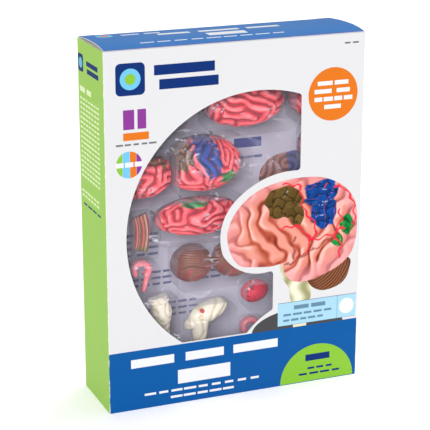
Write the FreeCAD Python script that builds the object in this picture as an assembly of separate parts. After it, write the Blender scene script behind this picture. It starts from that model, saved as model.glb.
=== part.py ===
"""Boxed brain anatomy model kit: a folded carton with a die-cut window, and in it a clear
formed tray with a clear cover, the pieces of the brain model in their pockets, and a guide.

Millimetres. The origin is the centre of the carton's base, +X to the right along the
windowed front, +Y from the front to the back, +Z up. Depths are measured from the front's
outer face. A piece of the model is made with its flat face at y = 0 and its rounded front
towards -Y, and is then set into the tray.
"""
import FreeCAD
import Part

import math
import os

# Carton
carton_width = 228.0
carton_depth = 66.0
carton_height = 306.0
card = 0.6
fold_radius = 1.0
layer_gap = 0.3
glue_flap_width = 14.0
base_flap_length = 60.0
dust_flap_length = 58.0
dust_flap_corner = 9.0
dust_flap_shoulder = 15.0

# Window: a large round arc, cut off by the outline of the brain and stand pictured beside it
window_arc_radius = 116.0
window_arc_x = 19.0
window_arc_z = 148.0
window_bottom = 54.0
window_right = 57.0
window_halo_top = 192.5
window_leg_right = 33.3
window_leg_top = 107.5
window_leg_bottom = 72.0
window_foot_right = 9.5
window_corner = 3.0
halo_shoulder = (22.0, 187.5)
halo_brow = (0.5, 174.0)
halo_left = (-13.5, 152.0)
halo_low_left = (-12.5, 126.0)
halo_under = (4.0, 110.5)
foot_bend = (22.0, 65.5)

# Lid with its tuck flap
lid_crown = 2.2
lid_crown_place = 0.38
lid_side_gap = 1.0
lid_hinge_gap = 0.2
lid_back_gap = 0.2
slit_length = 14.0
slit_width = 0.4
slit_depth = 2.4
tuck_length = 14.0
tuck_lean = 6.5
tuck_corner = 8.0
tuck_side_gap = 3.0

# Tray and its cover
tray_sheet = 0.4
tray_gap = 0.3
tray_rim_depth = 0.9
tray_rim_width = 3.5
tray_plane_depth = 5.5
tray_skirt_depth = 62.7
tray_headroom = 5.5
tray_corner = 6.0
pocket_clearance = 0.5
pocket_draft = 2.0
pocket_web = 0.6
pocket_corner = 0.17
cover_sheet = 0.3
cover_gap = 0.2

# Guide, a stapled leaflet behind the tray
guide_side_room = 11.0
guide_headroom = 20.5
guide_thickness = 2.0
guide_gap = 0.3

# Places of the pieces' edges, from the carton's middle and base
left_margin = 11.5
right_margin = 7.0
temporal_left = -63.5
temporal_bottom = 138.5
parietal_left = -47.2
frontal_left = -19.7
right_frontal_step = 2.0
occipital_right = -43.0
occipital_step = 2.5
cerebellum_left = -49.0
cerebellum_drop = 8.0
fan_bottom = 129.5
right_fan_left = 50.0
right_fan_bottom = 79.5
stem_left = -72.0
stem_top = 91.5
right_stem_left = -38.2
right_stem_top = 80.7
ganglia_left = 13.2
right_fornix_left = 11.6
right_fornix_top = 60.8
base_bottom = 13.0
post_left = -32.0
post_bottom = 9.5
thalamus_bottom = 57.0
ventricle_left = -84.0
ventricle_bottom = 12.0
callosum_left = 2.0

# How the pieces of the model lie and join
piece_middle_depth = 20.0
seat_gap = 0.3
pair_gap = 0.8
peg_radius = 1.5
peg_length = 2.5
peg_clearance = 0.05
socket_depth = 5.0

# Folds of the lobes, and where their blunt tips end as a share of their half length
sulcus_width = 5.2
sulcus_depth = 3.4
sulcus_rise = 1.2
tip_share = 0.995

# Lobes: half length along X, half height, thickness
frontal_long = 36.7
frontal_round = 21.5
frontal_thickness = 25.0
parietal_long = 35.0
parietal_round = 23.6
parietal_thickness = 28.0
parietal_trim = 27.0
temporal_long = 39.0
temporal_round = 16.3
temporal_thickness = 20.0
occipital_long = 31.0
occipital_round = 19.0
occipital_thickness = 24.0
occipital_trim = 26.0
right_frontal_long = 24.0
right_frontal_round = 20.5
right_parietal_long = 27.0
right_parietal_round = 19.5
right_parietal_trim = 22.5
right_temporal_long = 33.0
right_occipital_long = 20.0
right_occipital_trim = 17.0

# Cerebellum
cerebellum_wide = 18.3
cerebellum_high = 16.6
folia_count = 7
folia_depth = 1.1

# Brain stem: heights and radii up each half, and what stands on them
LEFT_STEM = ((-19, 4.0), (-8, 6.5), (2, 9.6), (10, 8.3), (18, 8.8))
RIGHT_STEM = ((-26, 6.0), (-18, 6.2), (-9, 7.4), (0, 9.0))
stem_lean = 12.0
stem_rib_heights = (13.0, 16.0)
stem_rib_radius = 0.9
stem_roof_long = 19.0
stem_roof_round = 9.6
stem_roof_lean = 22.0
stem_bulge_radius = 5.5
stem_spot_radius = 1.7

# Small inner pieces
fibre_count = 5
fibre_radius = 1.6
fibre_height = 30.0
fibre_bend = 50.0
fornix_outer = 9.2
fornix_inner = 3.8
fornix_thickness = 6.0
fornix_rise = 6.0
fornix_leg = 16.0
fornix_leg_top = 2.7
fornix_leg_tip = 1.8
FORNIX_SWEEP = (-60, 215)
disc_long = 14.5
disc_round = 11.7
disc_thickness = 6.5
DISC_HOLES = ((125, 0.52, 2.0), (165, 0.62, 1.7), (205, 0.6, 1.2), (240, 0.55, 0.9))
thalamus_long = 11.0
thalamus_round = 8.0
insula_long = 19.0
insula_round = 9.0
insula_groove = 1.2
insula_groove_depth = 1.4
ventricle_outer = 11.0
ventricle_inner = 6.5
ventricle_thickness = 5.0
VENTRICLE_SWEEP = (20, 200)
ventricle_branch = 6.0
callosum_outer = 22.0
callosum_inner = 15.0
callosum_thickness = 6.0
CALLOSUM_SWEEP = (30, 150)
nerve_radius = 2.0
nerve_trunk = 13.0
nerve_arm = 11.0
artery_ring_radius = 5.5
artery_radius = 1.3
artery_branch = 6.0

# Stand
stand_base_radius = 28.0
stand_base_height = 9.0
stand_boss_radius = 7.5
post_radius = 4.0
post_length = 66.0
tenon_radius = 3.0
tenon_length = 6.0

ORIGIN = FreeCAD.Vector(0, 0, 0)
X_AXIS = FreeCAD.Vector(1, 0, 0)
Y_AXIS = FreeCAD.Vector(0, 1, 0)
Z_AXIS = FreeCAD.Vector(0, 0, 1)
FAR = 400.0

front_face = -carton_depth / 2
back_face = carton_depth / 2
hinge_y = front_face + card / 2
hinge_z = carton_height - card / 2
lid_fold_y = back_face - card - lid_back_gap - card / 2
tray_bottom = 2 * card + tray_gap
tray_half_width = carton_width / 2 - 2 * card - tray_gap
tray_height = carton_height - tray_bottom - tray_headroom
guide_width = carton_width - 2 * guide_side_room
guide_height = carton_height - tray_bottom - guide_headroom


def vector(x, y, z):
    return FreeCAD.Vector(x, y, z)


def at_depth(depth):
    return front_face + depth


def box(x0, x1, y0, y1, z0, z1):
    return Part.makeBox(x1 - x0, y1 - y0, z1 - z0, vector(x0, y0, z0))


def moved(shape, x=0.0, y=0.0, z=0.0):
    copy = shape.copy()
    copy.translate(vector(x, y, z))
    return copy


def turned(shape, axis, degrees):
    copy = shape.copy()
    copy.rotate(ORIGIN, axis, degrees)
    return copy


def line(start, end):
    return Part.LineSegment(start, end).toShape()


def arc(start, middle, end):
    return Part.Arc(start, middle, end).toShape()


def around(edges, axis, degrees=360):
    """The solid that a closed outline sweeps about an axis through the origin."""
    return Part.Face(Part.Wire(edges)).revolve(ORIGIN, axis, degrees)


def behind(y):
    """A block that takes away all that lies behind y."""
    return box(-FAR, FAR, y, FAR, -FAR, FAR)


def rounded_outline(x0, x1, z0, z1, radius, y):
    """A closed wire: a rectangle with round corners, upright at that y."""
    corners = (
        (x1 - radius, z1 - radius, 0),
        (x0 + radius, z1 - radius, 90),
        (x0 + radius, z0 + radius, 180),
        (x1 - radius, z0 + radius, 270),
    )
    arcs = []
    for x, z, first in corners:
        points = []
        for degrees in (first, first + 45, first + 90):
            turn = math.radians(degrees)
            points.append(vector(x + radius * math.cos(turn), y, z + radius * math.sin(turn)))
        arcs.append(points)
    edges = []
    for index, points in enumerate(arcs):
        following = arcs[(index + 1) % len(arcs)]
        edges.append(arc(*points))
        edges.append(line(points[-1], following[0]))
    return Part.Wire(edges)


def upright_slab(x0, x1, z0, z1, radius, first_depth, last_depth):
    """A rounded rectangle between two depths."""
    outline = rounded_outline(x0, x1, z0, z1, radius, at_depth(first_depth))
    return Part.Face(outline).extrude(vector(0, last_depth - first_depth, 0))


def window_cutter():
    """The window's outline, as a block that passes through the front."""
    y = front_face - card
    low_reach = math.sqrt(window_arc_radius**2 - (window_arc_z - window_bottom) ** 2)
    high_reach = math.sqrt(window_arc_radius**2 - (window_right - window_arc_x) ** 2)
    low_left = vector(window_arc_x - low_reach, y, window_bottom)
    top_right = vector(window_right, y, window_arc_z + high_reach)
    far_left = vector(window_arc_x - window_arc_radius, y, window_arc_z)
    bends = (halo_shoulder, halo_brow, halo_left, halo_low_left, halo_under)
    halo = [vector(window_right, y, window_halo_top)]
    halo.extend(vector(x, y, z) for x, z in bends)
    halo.append(vector(window_leg_right, y, window_leg_top))
    leg_foot = vector(window_leg_right, y, window_leg_bottom)
    foot = vector(window_foot_right, y, window_bottom)
    edges = [
        arc(low_left, far_left, top_right),
        line(top_right, halo[0]),
        arc(*halo[0:3]),
        arc(*halo[2:5]),
        arc(*halo[4:7]),
        line(halo[6], leg_foot),
        arc(leg_foot, vector(foot_bend[0], y, foot_bend[1]), foot),
        line(foot, low_left),
    ]
    cutter = Part.Face(Part.Wire(edges)).extrude(vector(0, 3 * card, 0))
    sharp = (top_right, halo[0], halo[6], leg_foot, low_left)
    corners = []
    for edge in cutter.Edges:
        start = edge.Vertexes[0].Point
        end = edge.Vertexes[-1].Point
        near = min((vector(start.x, y, start.z) - point).Length for point in sharp)
        if abs(start.y - end.y) > card and near < 0.01:
            corners.append(edge)
    return cutter.makeFillet(window_corner, corners)


def sleeve():
    """The four upright panels and the base, one card thick, with rounded folds."""
    half = carton_width / 2
    top = carton_height - card - lid_hinge_gap
    outer = box(-half, half, front_face, back_face, 0, top)
    upright = [
        edge for edge in outer.Edges
        if edge.Length > top - card and edge.Vertexes[0].X == edge.Vertexes[-1].X
    ]
    outer = outer.makeFillet(fold_radius, upright)
    inner = box(-half + card, half - card, front_face + card, back_face - card, card, FAR)
    return outer.cut(inner)


def base_flap(side):
    """An inner flap of the glued base, folded in from one side."""
    root = side * (carton_width / 2 - card)
    tip = side * (carton_width / 2 - base_flap_length)
    return box(
        min(root, tip), max(root, tip), front_face + card, back_face - card, card, 2 * card
    )


def glue_flap():
    """The glued seam at the back end of the right side."""
    x = carton_width / 2 - card
    y = back_face - card
    top = carton_height - tuck_length
    return box(x - card, x, y - glue_flap_width, y, card, top)


def dust_flap(side):
    """A flap folded in from one side under the lid, cut back where the tuck flap goes in."""
    half = carton_width / 2
    top = carton_height - card - layer_gap
    tuck_room = tuck_length * math.sin(math.radians(tuck_lean)) + card + 2 * layer_gap
    front = front_face + card + layer_gap
    back = back_face - card - layer_gap
    back_at_tuck = back - tuck_room
    root = half - card / 2
    tip = half - dust_flap_length
    outline = (
        (root, front),
        (tip + dust_flap_corner, front),
        (tip, front + dust_flap_corner),
        (tip, back_at_tuck - dust_flap_corner),
        (tip + dust_flap_corner, back_at_tuck),
        (half - dust_flap_shoulder, back_at_tuck),
        (half - dust_flap_shoulder + tuck_room / 2, back),
        (root, back),
        (root, front),
    )
    wire = Part.makePolygon([vector(side * x, y, top - card) for x, y in outline])
    return Part.Face(wire).extrude(vector(0, 0, card))


def carton():
    """One folded blank: sleeve, base, seam and dust flaps."""
    parts = [base_flap(-1), base_flap(1), glue_flap(), dust_flap(-1), dust_flap(1)]
    return sleeve().fuse(parts).removeSplitter().cut(window_cutter())


def lid_arch(z):
    """One face of the lid's shallow arch: two arcs that meet level at its crown."""
    crown_y = hinge_y + lid_crown_place * (lid_fold_y - hinge_y)
    edges = []
    for foot_y in (hinge_y, lid_fold_y):
        run = foot_y - crown_y
        radius = (run**2 + lid_crown**2) / (2 * lid_crown)
        half_turn = math.asin(run / radius) / 2
        middle = vector(
            0,
            crown_y + radius * math.sin(half_turn),
            z + lid_crown - radius * (1 - math.cos(half_turn)),
        )
        edges.append(arc(vector(0, foot_y, z), middle, vector(0, crown_y, z + lid_crown)))
    return edges


def lid_section(tucked):
    """The lid's closed section: a nose round the hinge, the arch, and its back end."""
    low = hinge_z - card / 2
    high = hinge_z + card / 2
    nose = arc(
        vector(0, hinge_y, low), vector(0, front_face, hinge_z), vector(0, hinge_y, high)
    )
    arch = [nose] + lid_arch(high) + lid_arch(low)
    fold_low = vector(0, lid_fold_y, low)
    fold_high = vector(0, lid_fold_y, high)
    if not tucked:
        tip_low = vector(0, back_face, low)
        tip_high = vector(0, back_face, high)
        ends = [line(fold_high, tip_high), line(tip_high, tip_low), line(tip_low, fold_low)]
        return Part.Face(Part.Wire(Part.__sortEdges__(arch + ends)))
    lean = math.radians(tuck_lean)
    down = vector(0, -math.sin(lean), -math.cos(lean))
    across = vector(0, -math.cos(lean), math.sin(lean))
    outer_top = vector(0, lid_fold_y + card / 2, hinge_z)
    bulge = card / 2 * math.sqrt(0.5)
    outer_tip = outer_top + down * tuck_length
    inner_tip = outer_tip + across * card
    inner_top = vector(0, lid_fold_y - card / 2, low - layer_gap)
    ends = [
        arc(fold_high, vector(0, lid_fold_y + bulge, hinge_z + bulge), outer_top),
        line(outer_top, outer_tip),
        line(outer_tip, inner_tip),
        line(inner_tip, inner_top),
        line(inner_top, fold_low),
    ]
    return Part.Face(Part.Wire(Part.__sortEdges__(arch + ends)))


def tuck_trim(side, x):
    """What is cut off the tuck flap at one end: its margin and its slanted corner."""
    top = carton_height - card - layer_gap - card
    tip = top - tuck_length - card
    corner_top = tip + tuck_corner
    outline = [
        (x, top),
        (x, corner_top),
        (x - side * tuck_corner, tip),
        (x + side * tuck_corner, tip),
        (x + side * tuck_corner, top),
        (x, top),
    ]
    wire = Part.makePolygon([vector(px, 0, pz) for px, pz in outline])
    return Part.Face(wire).extrude(vector(0, carton_depth, 0))


def lid():
    """The lid, hinged along the front's top edge, its tuck flap between two slits."""
    half = carton_width / 2 - lid_side_gap
    inside = half - slit_length
    middle = moved(lid_section(True), x=-inside).extrude(vector(2 * inside, 0, 0))
    cuts = []
    ears = []
    for side in (-1, 1):
        start = -half if side < 0 else inside
        ears.append(moved(lid_section(False), x=start).extrude(vector(slit_length, 0, 0)))
        slit = side * inside
        edges = (slit - slit_width / 2, slit + slit_width / 2)
        cuts.append(box(*edges, back_face - slit_depth, FAR, 0, FAR))
        cuts.append(tuck_trim(side, side * (inside - tuck_side_gap)))
    return middle.fuse(ears).removeSplitter().cut(cuts)


def spheroid(long_radius, round_radius):
    """An egg-shaped solid of revolution with its long axis along X."""
    half = Part.ArcOfEllipse(Part.Ellipse(ORIGIN, long_radius, round_radius), 0, math.pi)
    axis = line(vector(-long_radius, 0, 0), vector(long_radius, 0, 0))
    return around([half.toShape(), axis], X_AXIS)


def dome(long_radius, round_radius):
    """The front half of a spheroid, with its flat face at y = 0."""
    upright = Part.Ellipse(vector(long_radius, 0, 0), vector(0, 0, round_radius), ORIGIN)
    half = Part.ArcOfEllipse(upright, 0, math.pi)
    axis = line(vector(-long_radius, 0, 0), vector(long_radius, 0, 0))
    return around([half.toShape(), axis], X_AXIS, 180)


def sulcus(long_radius, round_radius, across, up, radius, first, sweep):
    """A curved groove for a spheroid's front: part of a V-shaped ring about the surface
    normal at the place that across and up give, as shares of the two radii."""
    x = across * long_radius
    z = up * round_radius
    y = -round_radius * math.sqrt(1 - across**2 - up**2)
    normal = vector(x / long_radius**2, y / round_radius**2, z / round_radius**2)
    section = Part.makePolygon(
        [
            vector(radius - sulcus_width / 2, 0, sulcus_rise),
            vector(radius + sulcus_width / 2, 0, sulcus_rise),
            vector(radius, 0, -sulcus_depth),
            vector(radius - sulcus_width / 2, 0, sulcus_rise),
        ]
    )
    ring = Part.Face(section).revolve(ORIGIN, Z_AXIS, sweep)
    ring.rotate(ORIGIN, Z_AXIS, first)
    place = FreeCAD.Placement(vector(x, y, z), FreeCAD.Rotation(Z_AXIS, normal))
    ring.Placement = place.multiply(ring.Placement)
    return ring


def jointed(solid, places, left_hand):
    """The piece with its pegs, or with the sockets that take the other half's pegs."""
    if left_hand:
        pins = [
            Part.makeCylinder(peg_radius, 2 * peg_length, vector(x, -peg_length, z), Y_AXIS)
            for x, z in places
        ]
        return solid.fuse(pins)
    radius = peg_radius + peg_clearance
    holes = [
        Part.makeCylinder(radius, FAR, vector(x, -socket_depth, z), Y_AXIS) for x, z in places
    ]
    return solid.cut(holes)


def lobe(long_radius, round_radius, thickness, grooves, peg_offset, left_hand, trim=0):
    """A rounded lobe with curved grooves, a flat inner face and its pegs or sockets."""
    skirt = thickness - round_radius
    rim = Part.Ellipse(vector(long_radius, 0, 0), vector(0, 0, round_radius), ORIGIN)
    body = Part.Face(Part.Wire([rim.toShape()])).extrude(vector(0, skirt, 0))
    solid = body.fuse(dome(long_radius, round_radius))
    for groove in grooves:
        solid = solid.cut(sulcus(long_radius, round_radius, *groove))
    tip = long_radius * tip_share
    low = max(-tip, trim) if trim < 0 else -tip
    high = min(tip, trim) if trim > 0 else tip
    solid = solid.common(box(low, high, -FAR, FAR, -FAR, FAR))
    solid = moved(solid, y=round_radius - thickness)
    return jointed(solid, ((-peg_offset, 0), (peg_offset, 0)), left_hand)


# Grooves of a lobe: place across and up, radius, first angle and sweep
FRONTAL_FOLDS = (
    (-0.55, 0.1, 8.0, 20, 200),
    (-0.05, 0.35, 8.0, 200, 210),
    (0.4, -0.1, 8.5, 0, 220),
    (-0.1, -0.5, 7.0, -20, 190),
    (0.72, 0.3, 6.0, 120, 150),
)
PARIETAL_FOLDS = (
    (-0.4, 0.35, 9.0, 60, 190),
    (0.2, 0.05, 9.0, -70, 200),
    (-0.05, -0.5, 8.0, 0, 180),
    (0.6, 0.4, 7.0, 150, 170),
)
TEMPORAL_FOLDS = (
    (-0.6, 0.1, 7.0, 30, 180),
    (-0.15, 0.25, 7.0, 190, 200),
    (0.3, -0.1, 7.5, 20, 190),
    (0.68, 0.15, 6.0, 200, 180),
)
OCCIPITAL_FOLDS = (
    (-0.35, 0.2, 8.0, 40, 200),
    (0.35, 0.25, 7.5, 210, 190),
    (0.05, -0.45, 7.0, -10, 190),
)


def cerebellum(left_hand):
    """A half cerebellum: folds one above the other round a flattened ball."""
    step = math.pi / folia_count
    outline = [vector(0, 0, -cerebellum_high)]
    for index in range(folia_count):
        for share in (0.2, 0.5, 0.8, 1.0):
            turn = -math.pi / 2 + step * (index + share)
            inset = folia_depth if share == 1.0 else 0.0
            reach = cerebellum_wide * math.cos(turn) - inset
            outline.append(vector(max(reach, 0), 0, cerebellum_high * math.sin(turn)))
    edges = [line(*ends) for ends in zip(outline, outline[1:])]
    edges.append(line(outline[-1], outline[0]))
    solid = around(edges, Z_AXIS, -180)
    return jointed(solid, ((0, 0),), left_hand)


def stem_half(stations):
    """Half of a turned stem through stations of height and radius, flat at the back."""
    points = [vector(radius, 0, z) for z, radius in stations]
    curve = Part.BSplineCurve()
    curve.interpolate(points)
    low = vector(0, 0, points[0].z)
    high = vector(0, 0, points[-1].z)
    edges = [line(low, points[0]), curve.toShape(), line(points[-1], high), line(high, low)]
    return around(edges, Z_AXIS).cut(behind(0))


def left_brain_stem():
    """A half stem: midbrain with two ribs, pons and a tapering medulla."""
    stem = stem_half(LEFT_STEM)
    rib = Part.makeTorus(LEFT_STEM[-1][1], stem_rib_radius)
    ribs = [moved(rib, z=z).cut(behind(0)) for z in stem_rib_heights]
    return turned(stem.fuse(ribs), Y_AXIS, -stem_lean)


def right_brain_stem():
    """The other half stem, with the long thalamus on top and the round spot beside it."""
    stem = stem_half(RIGHT_STEM)
    roof = turned(spheroid(stem_roof_long, stem_roof_round), Y_AXIS, -stem_roof_lean)
    roof = moved(roof, x=7.0, z=7.0)
    bulge = moved(Part.makeSphere(stem_bulge_radius), x=-9.0, z=-3.0)
    spot = Part.makeCylinder(stem_spot_radius, 3.0, vector(-2.0, -9.5, 4.5), Y_AXIS)
    whole = stem.fuse([roof, bulge]).cut(behind(0))
    return whole.cut(spot)


def fibre_fan():
    """A bundle of curved fibres side by side, cut square at both ends."""
    sweep = 2 * math.degrees(math.asin(fibre_height / 2 / fibre_bend))
    strands = []
    for index in range(fibre_count):
        spread = (index - (fibre_count - 1) / 2) * fibre_radius * 1.7
        centre = vector(fibre_bend + spread, -fibre_radius, 0)
        section = Part.Face(Part.Wire([Part.Circle(centre, Z_AXIS, fibre_radius).toShape()]))
        strand = section.revolve(ORIGIN, Y_AXIS, sweep)
        strands.append(turned(strand, Y_AXIS, -sweep / 2))
    return moved(strands[0].fuse(strands[1:]), x=-fibre_bend)


def arched_band(outer, inner, sweep, thickness):
    """Part of a flat ring, rounded towards the front, between two angles in degrees."""
    first, last = sweep
    crest = vector((outer + inner) / 2, -thickness, 0)
    shoulder = thickness / 2
    edges = [
        line(vector(inner, 0, 0), vector(outer, 0, 0)),
        line(vector(outer, 0, 0), vector(outer, -shoulder, 0)),
        arc(vector(outer, -shoulder, 0), crest, vector(inner, -shoulder, 0)),
        line(vector(inner, -shoulder, 0), vector(inner, 0, 0)),
    ]
    band = Part.Face(Part.Wire(edges)).revolve(ORIGIN, Y_AXIS, -(last - first))
    return turned(band, Y_AXIS, -first)


def fornix():
    """An open loop with a tapered leg that runs down from it."""
    loop = arched_band(fornix_outer, fornix_inner, FORNIX_SWEEP, fornix_thickness)
    loop = moved(loop, z=fornix_rise)
    start = vector(6.0, -2.8, 3.0)
    aim = vector(-0.28, 0, -1)
    leg = Part.makeCone(fornix_leg_top, fornix_leg_tip, fornix_leg, start, aim)
    return loop.fuse(leg).cut(behind(0))


def basal_ganglia():
    """An oval disc, crowned in front, with a row of round holes along one side."""
    crown = moved(spheroid(disc_long, disc_round), y=disc_round - disc_thickness).cut(behind(0))
    holes = []
    for degrees, share, radius in DISC_HOLES:
        turn = math.radians(degrees)
        x = disc_long * share * math.cos(turn)
        z = disc_round * share * math.sin(turn)
        start = vector(x, -disc_round, z)
        holes.append(Part.makeCylinder(radius, 2 * disc_round, start, Y_AXIS))
    return crown.cut(holes)


def thalamus():
    reach = thalamus_long * tip_share
    blunt = dome(thalamus_long, thalamus_round)
    blunt = blunt.common(box(-reach, reach, -FAR, FAR, -FAR, FAR))
    return turned(blunt, Y_AXIS, 90)


def insula():
    """A flat oval piece with three grooves that spread upwards."""
    solid = turned(spheroid(insula_long, insula_round), Y_AXIS, 90)
    solid = solid.cut(behind(-insula_round / 4))
    depth = insula_round - insula_groove_depth
    half = insula_groove / 2
    for lean in (-16, 0, 16):
        groove = box(-half, half, -FAR, -depth, insula_long * 0.35, insula_long * 1.6)
        solid = solid.cut(moved(turned(groove, Y_AXIS, lean), z=-insula_long))
    return moved(solid, y=insula_round / 4)


def ventricle():
    """A slim horn: an arch with a short branch."""
    arch = arched_band(ventricle_outer, ventricle_inner, VENTRICLE_SWEEP, ventricle_thickness)
    start = vector(-(ventricle_outer + ventricle_inner) / 2, -2.2, -1.0)
    branch = Part.makeCone(2.2, 1.4, ventricle_branch, start, vector(0.5, 0, -1))
    return arch.fuse(branch).cut(behind(0))


def corpus_callosum():
    return arched_band(callosum_outer, callosum_inner, CALLOSUM_SWEEP, callosum_thickness)


def optic_nerve():
    """A nerve that forks at one end."""
    trunk = Part.makeCylinder(nerve_radius, nerve_trunk, vector(0, -nerve_radius, 0), X_AXIS)
    fork = vector(0.5, -nerve_radius, 0)
    arms = []
    for side in (-1, 1):
        aim = vector(-1, 0, side * 0.5)
        arms.append(Part.makeCone(nerve_radius, nerve_radius * 0.7, nerve_arm, fork, aim))
    return trunk.fuse(arms).cut(behind(0))


def artery_ring():
    ring = turned(Part.makeTorus(artery_ring_radius, artery_radius), X_AXIS, 90)
    ring = moved(ring, y=-artery_radius)
    start = vector(artery_ring_radius, -artery_radius, 0)
    branch = Part.makeCylinder(artery_radius * 0.9, artery_branch, start, X_AXIS)
    return ring.fuse(branch)


def stand_base():
    """A round foot with a boss, and in it the socket that takes the post."""
    rim = 0.28 * stand_base_height
    shoulder = 0.72 * stand_base_height
    boss_foot = stand_boss_radius + 1.5
    edges = [
        line(ORIGIN, vector(stand_base_radius, 0, 0)),
        line(vector(stand_base_radius, 0, 0), vector(stand_base_radius, -rim, 0)),
        arc(
            vector(stand_base_radius, -rim, 0),
            vector(stand_base_radius * 0.62, -0.9 * shoulder, 0),
            vector(boss_foot, -shoulder, 0),
        ),
        line(vector(boss_foot, -shoulder, 0), vector(stand_boss_radius, -stand_base_height, 0)),
        line(vector(stand_boss_radius, -stand_base_height, 0), vector(0, -stand_base_height, 0)),
        line(vector(0, -stand_base_height, 0), ORIGIN),
    ]
    socket = Part.makeCylinder(
        tenon_radius + peg_clearance, tenon_length, vector(0, -stand_base_height, 0), Y_AXIS
    )
    return around(edges, Y_AXIS).cut(socket)


def stand_post():
    """A slim tapered post with a tenon at each end."""
    shaft_length = post_length - 2 * tenon_length
    shaft = Part.makeCone(
        post_radius, post_radius * 0.85, shaft_length, vector(-shaft_length / 2, 0, 0), X_AXIS
    )
    tenon = Part.makeCylinder(tenon_radius, post_length, vector(-post_length / 2, 0, 0), X_AXIS)
    return moved(shaft.fuse(tenon), y=-post_radius)


def pocket_growth(depth):
    """How far a pocket's mouth stands outside its floor."""
    return (depth - tray_plane_depth) * math.tan(math.radians(pocket_draft))


def web():
    """The space that two deep pockets need between the pieces in them."""
    deepest = piece_middle_depth + parietal_thickness / 2 + peg_length + seat_gap
    return 2 * (pocket_clearance + pocket_growth(deepest) + tray_sheet) + pocket_web


def set_at(shape, left=None, right=None, bottom=None, top=None):
    """The shape moved so that the given edges of its box lie there, and its middle at the
    depth of the pieces' middle."""
    bounds = shape.BoundBox
    x = left - bounds.XMin if left is not None else right - bounds.XMax
    z = bottom - bounds.ZMin if bottom is not None else top - bounds.ZMax
    y = at_depth(piece_middle_depth) - bounds.YMin / 2
    return moved(shape, x, y, z)


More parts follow.
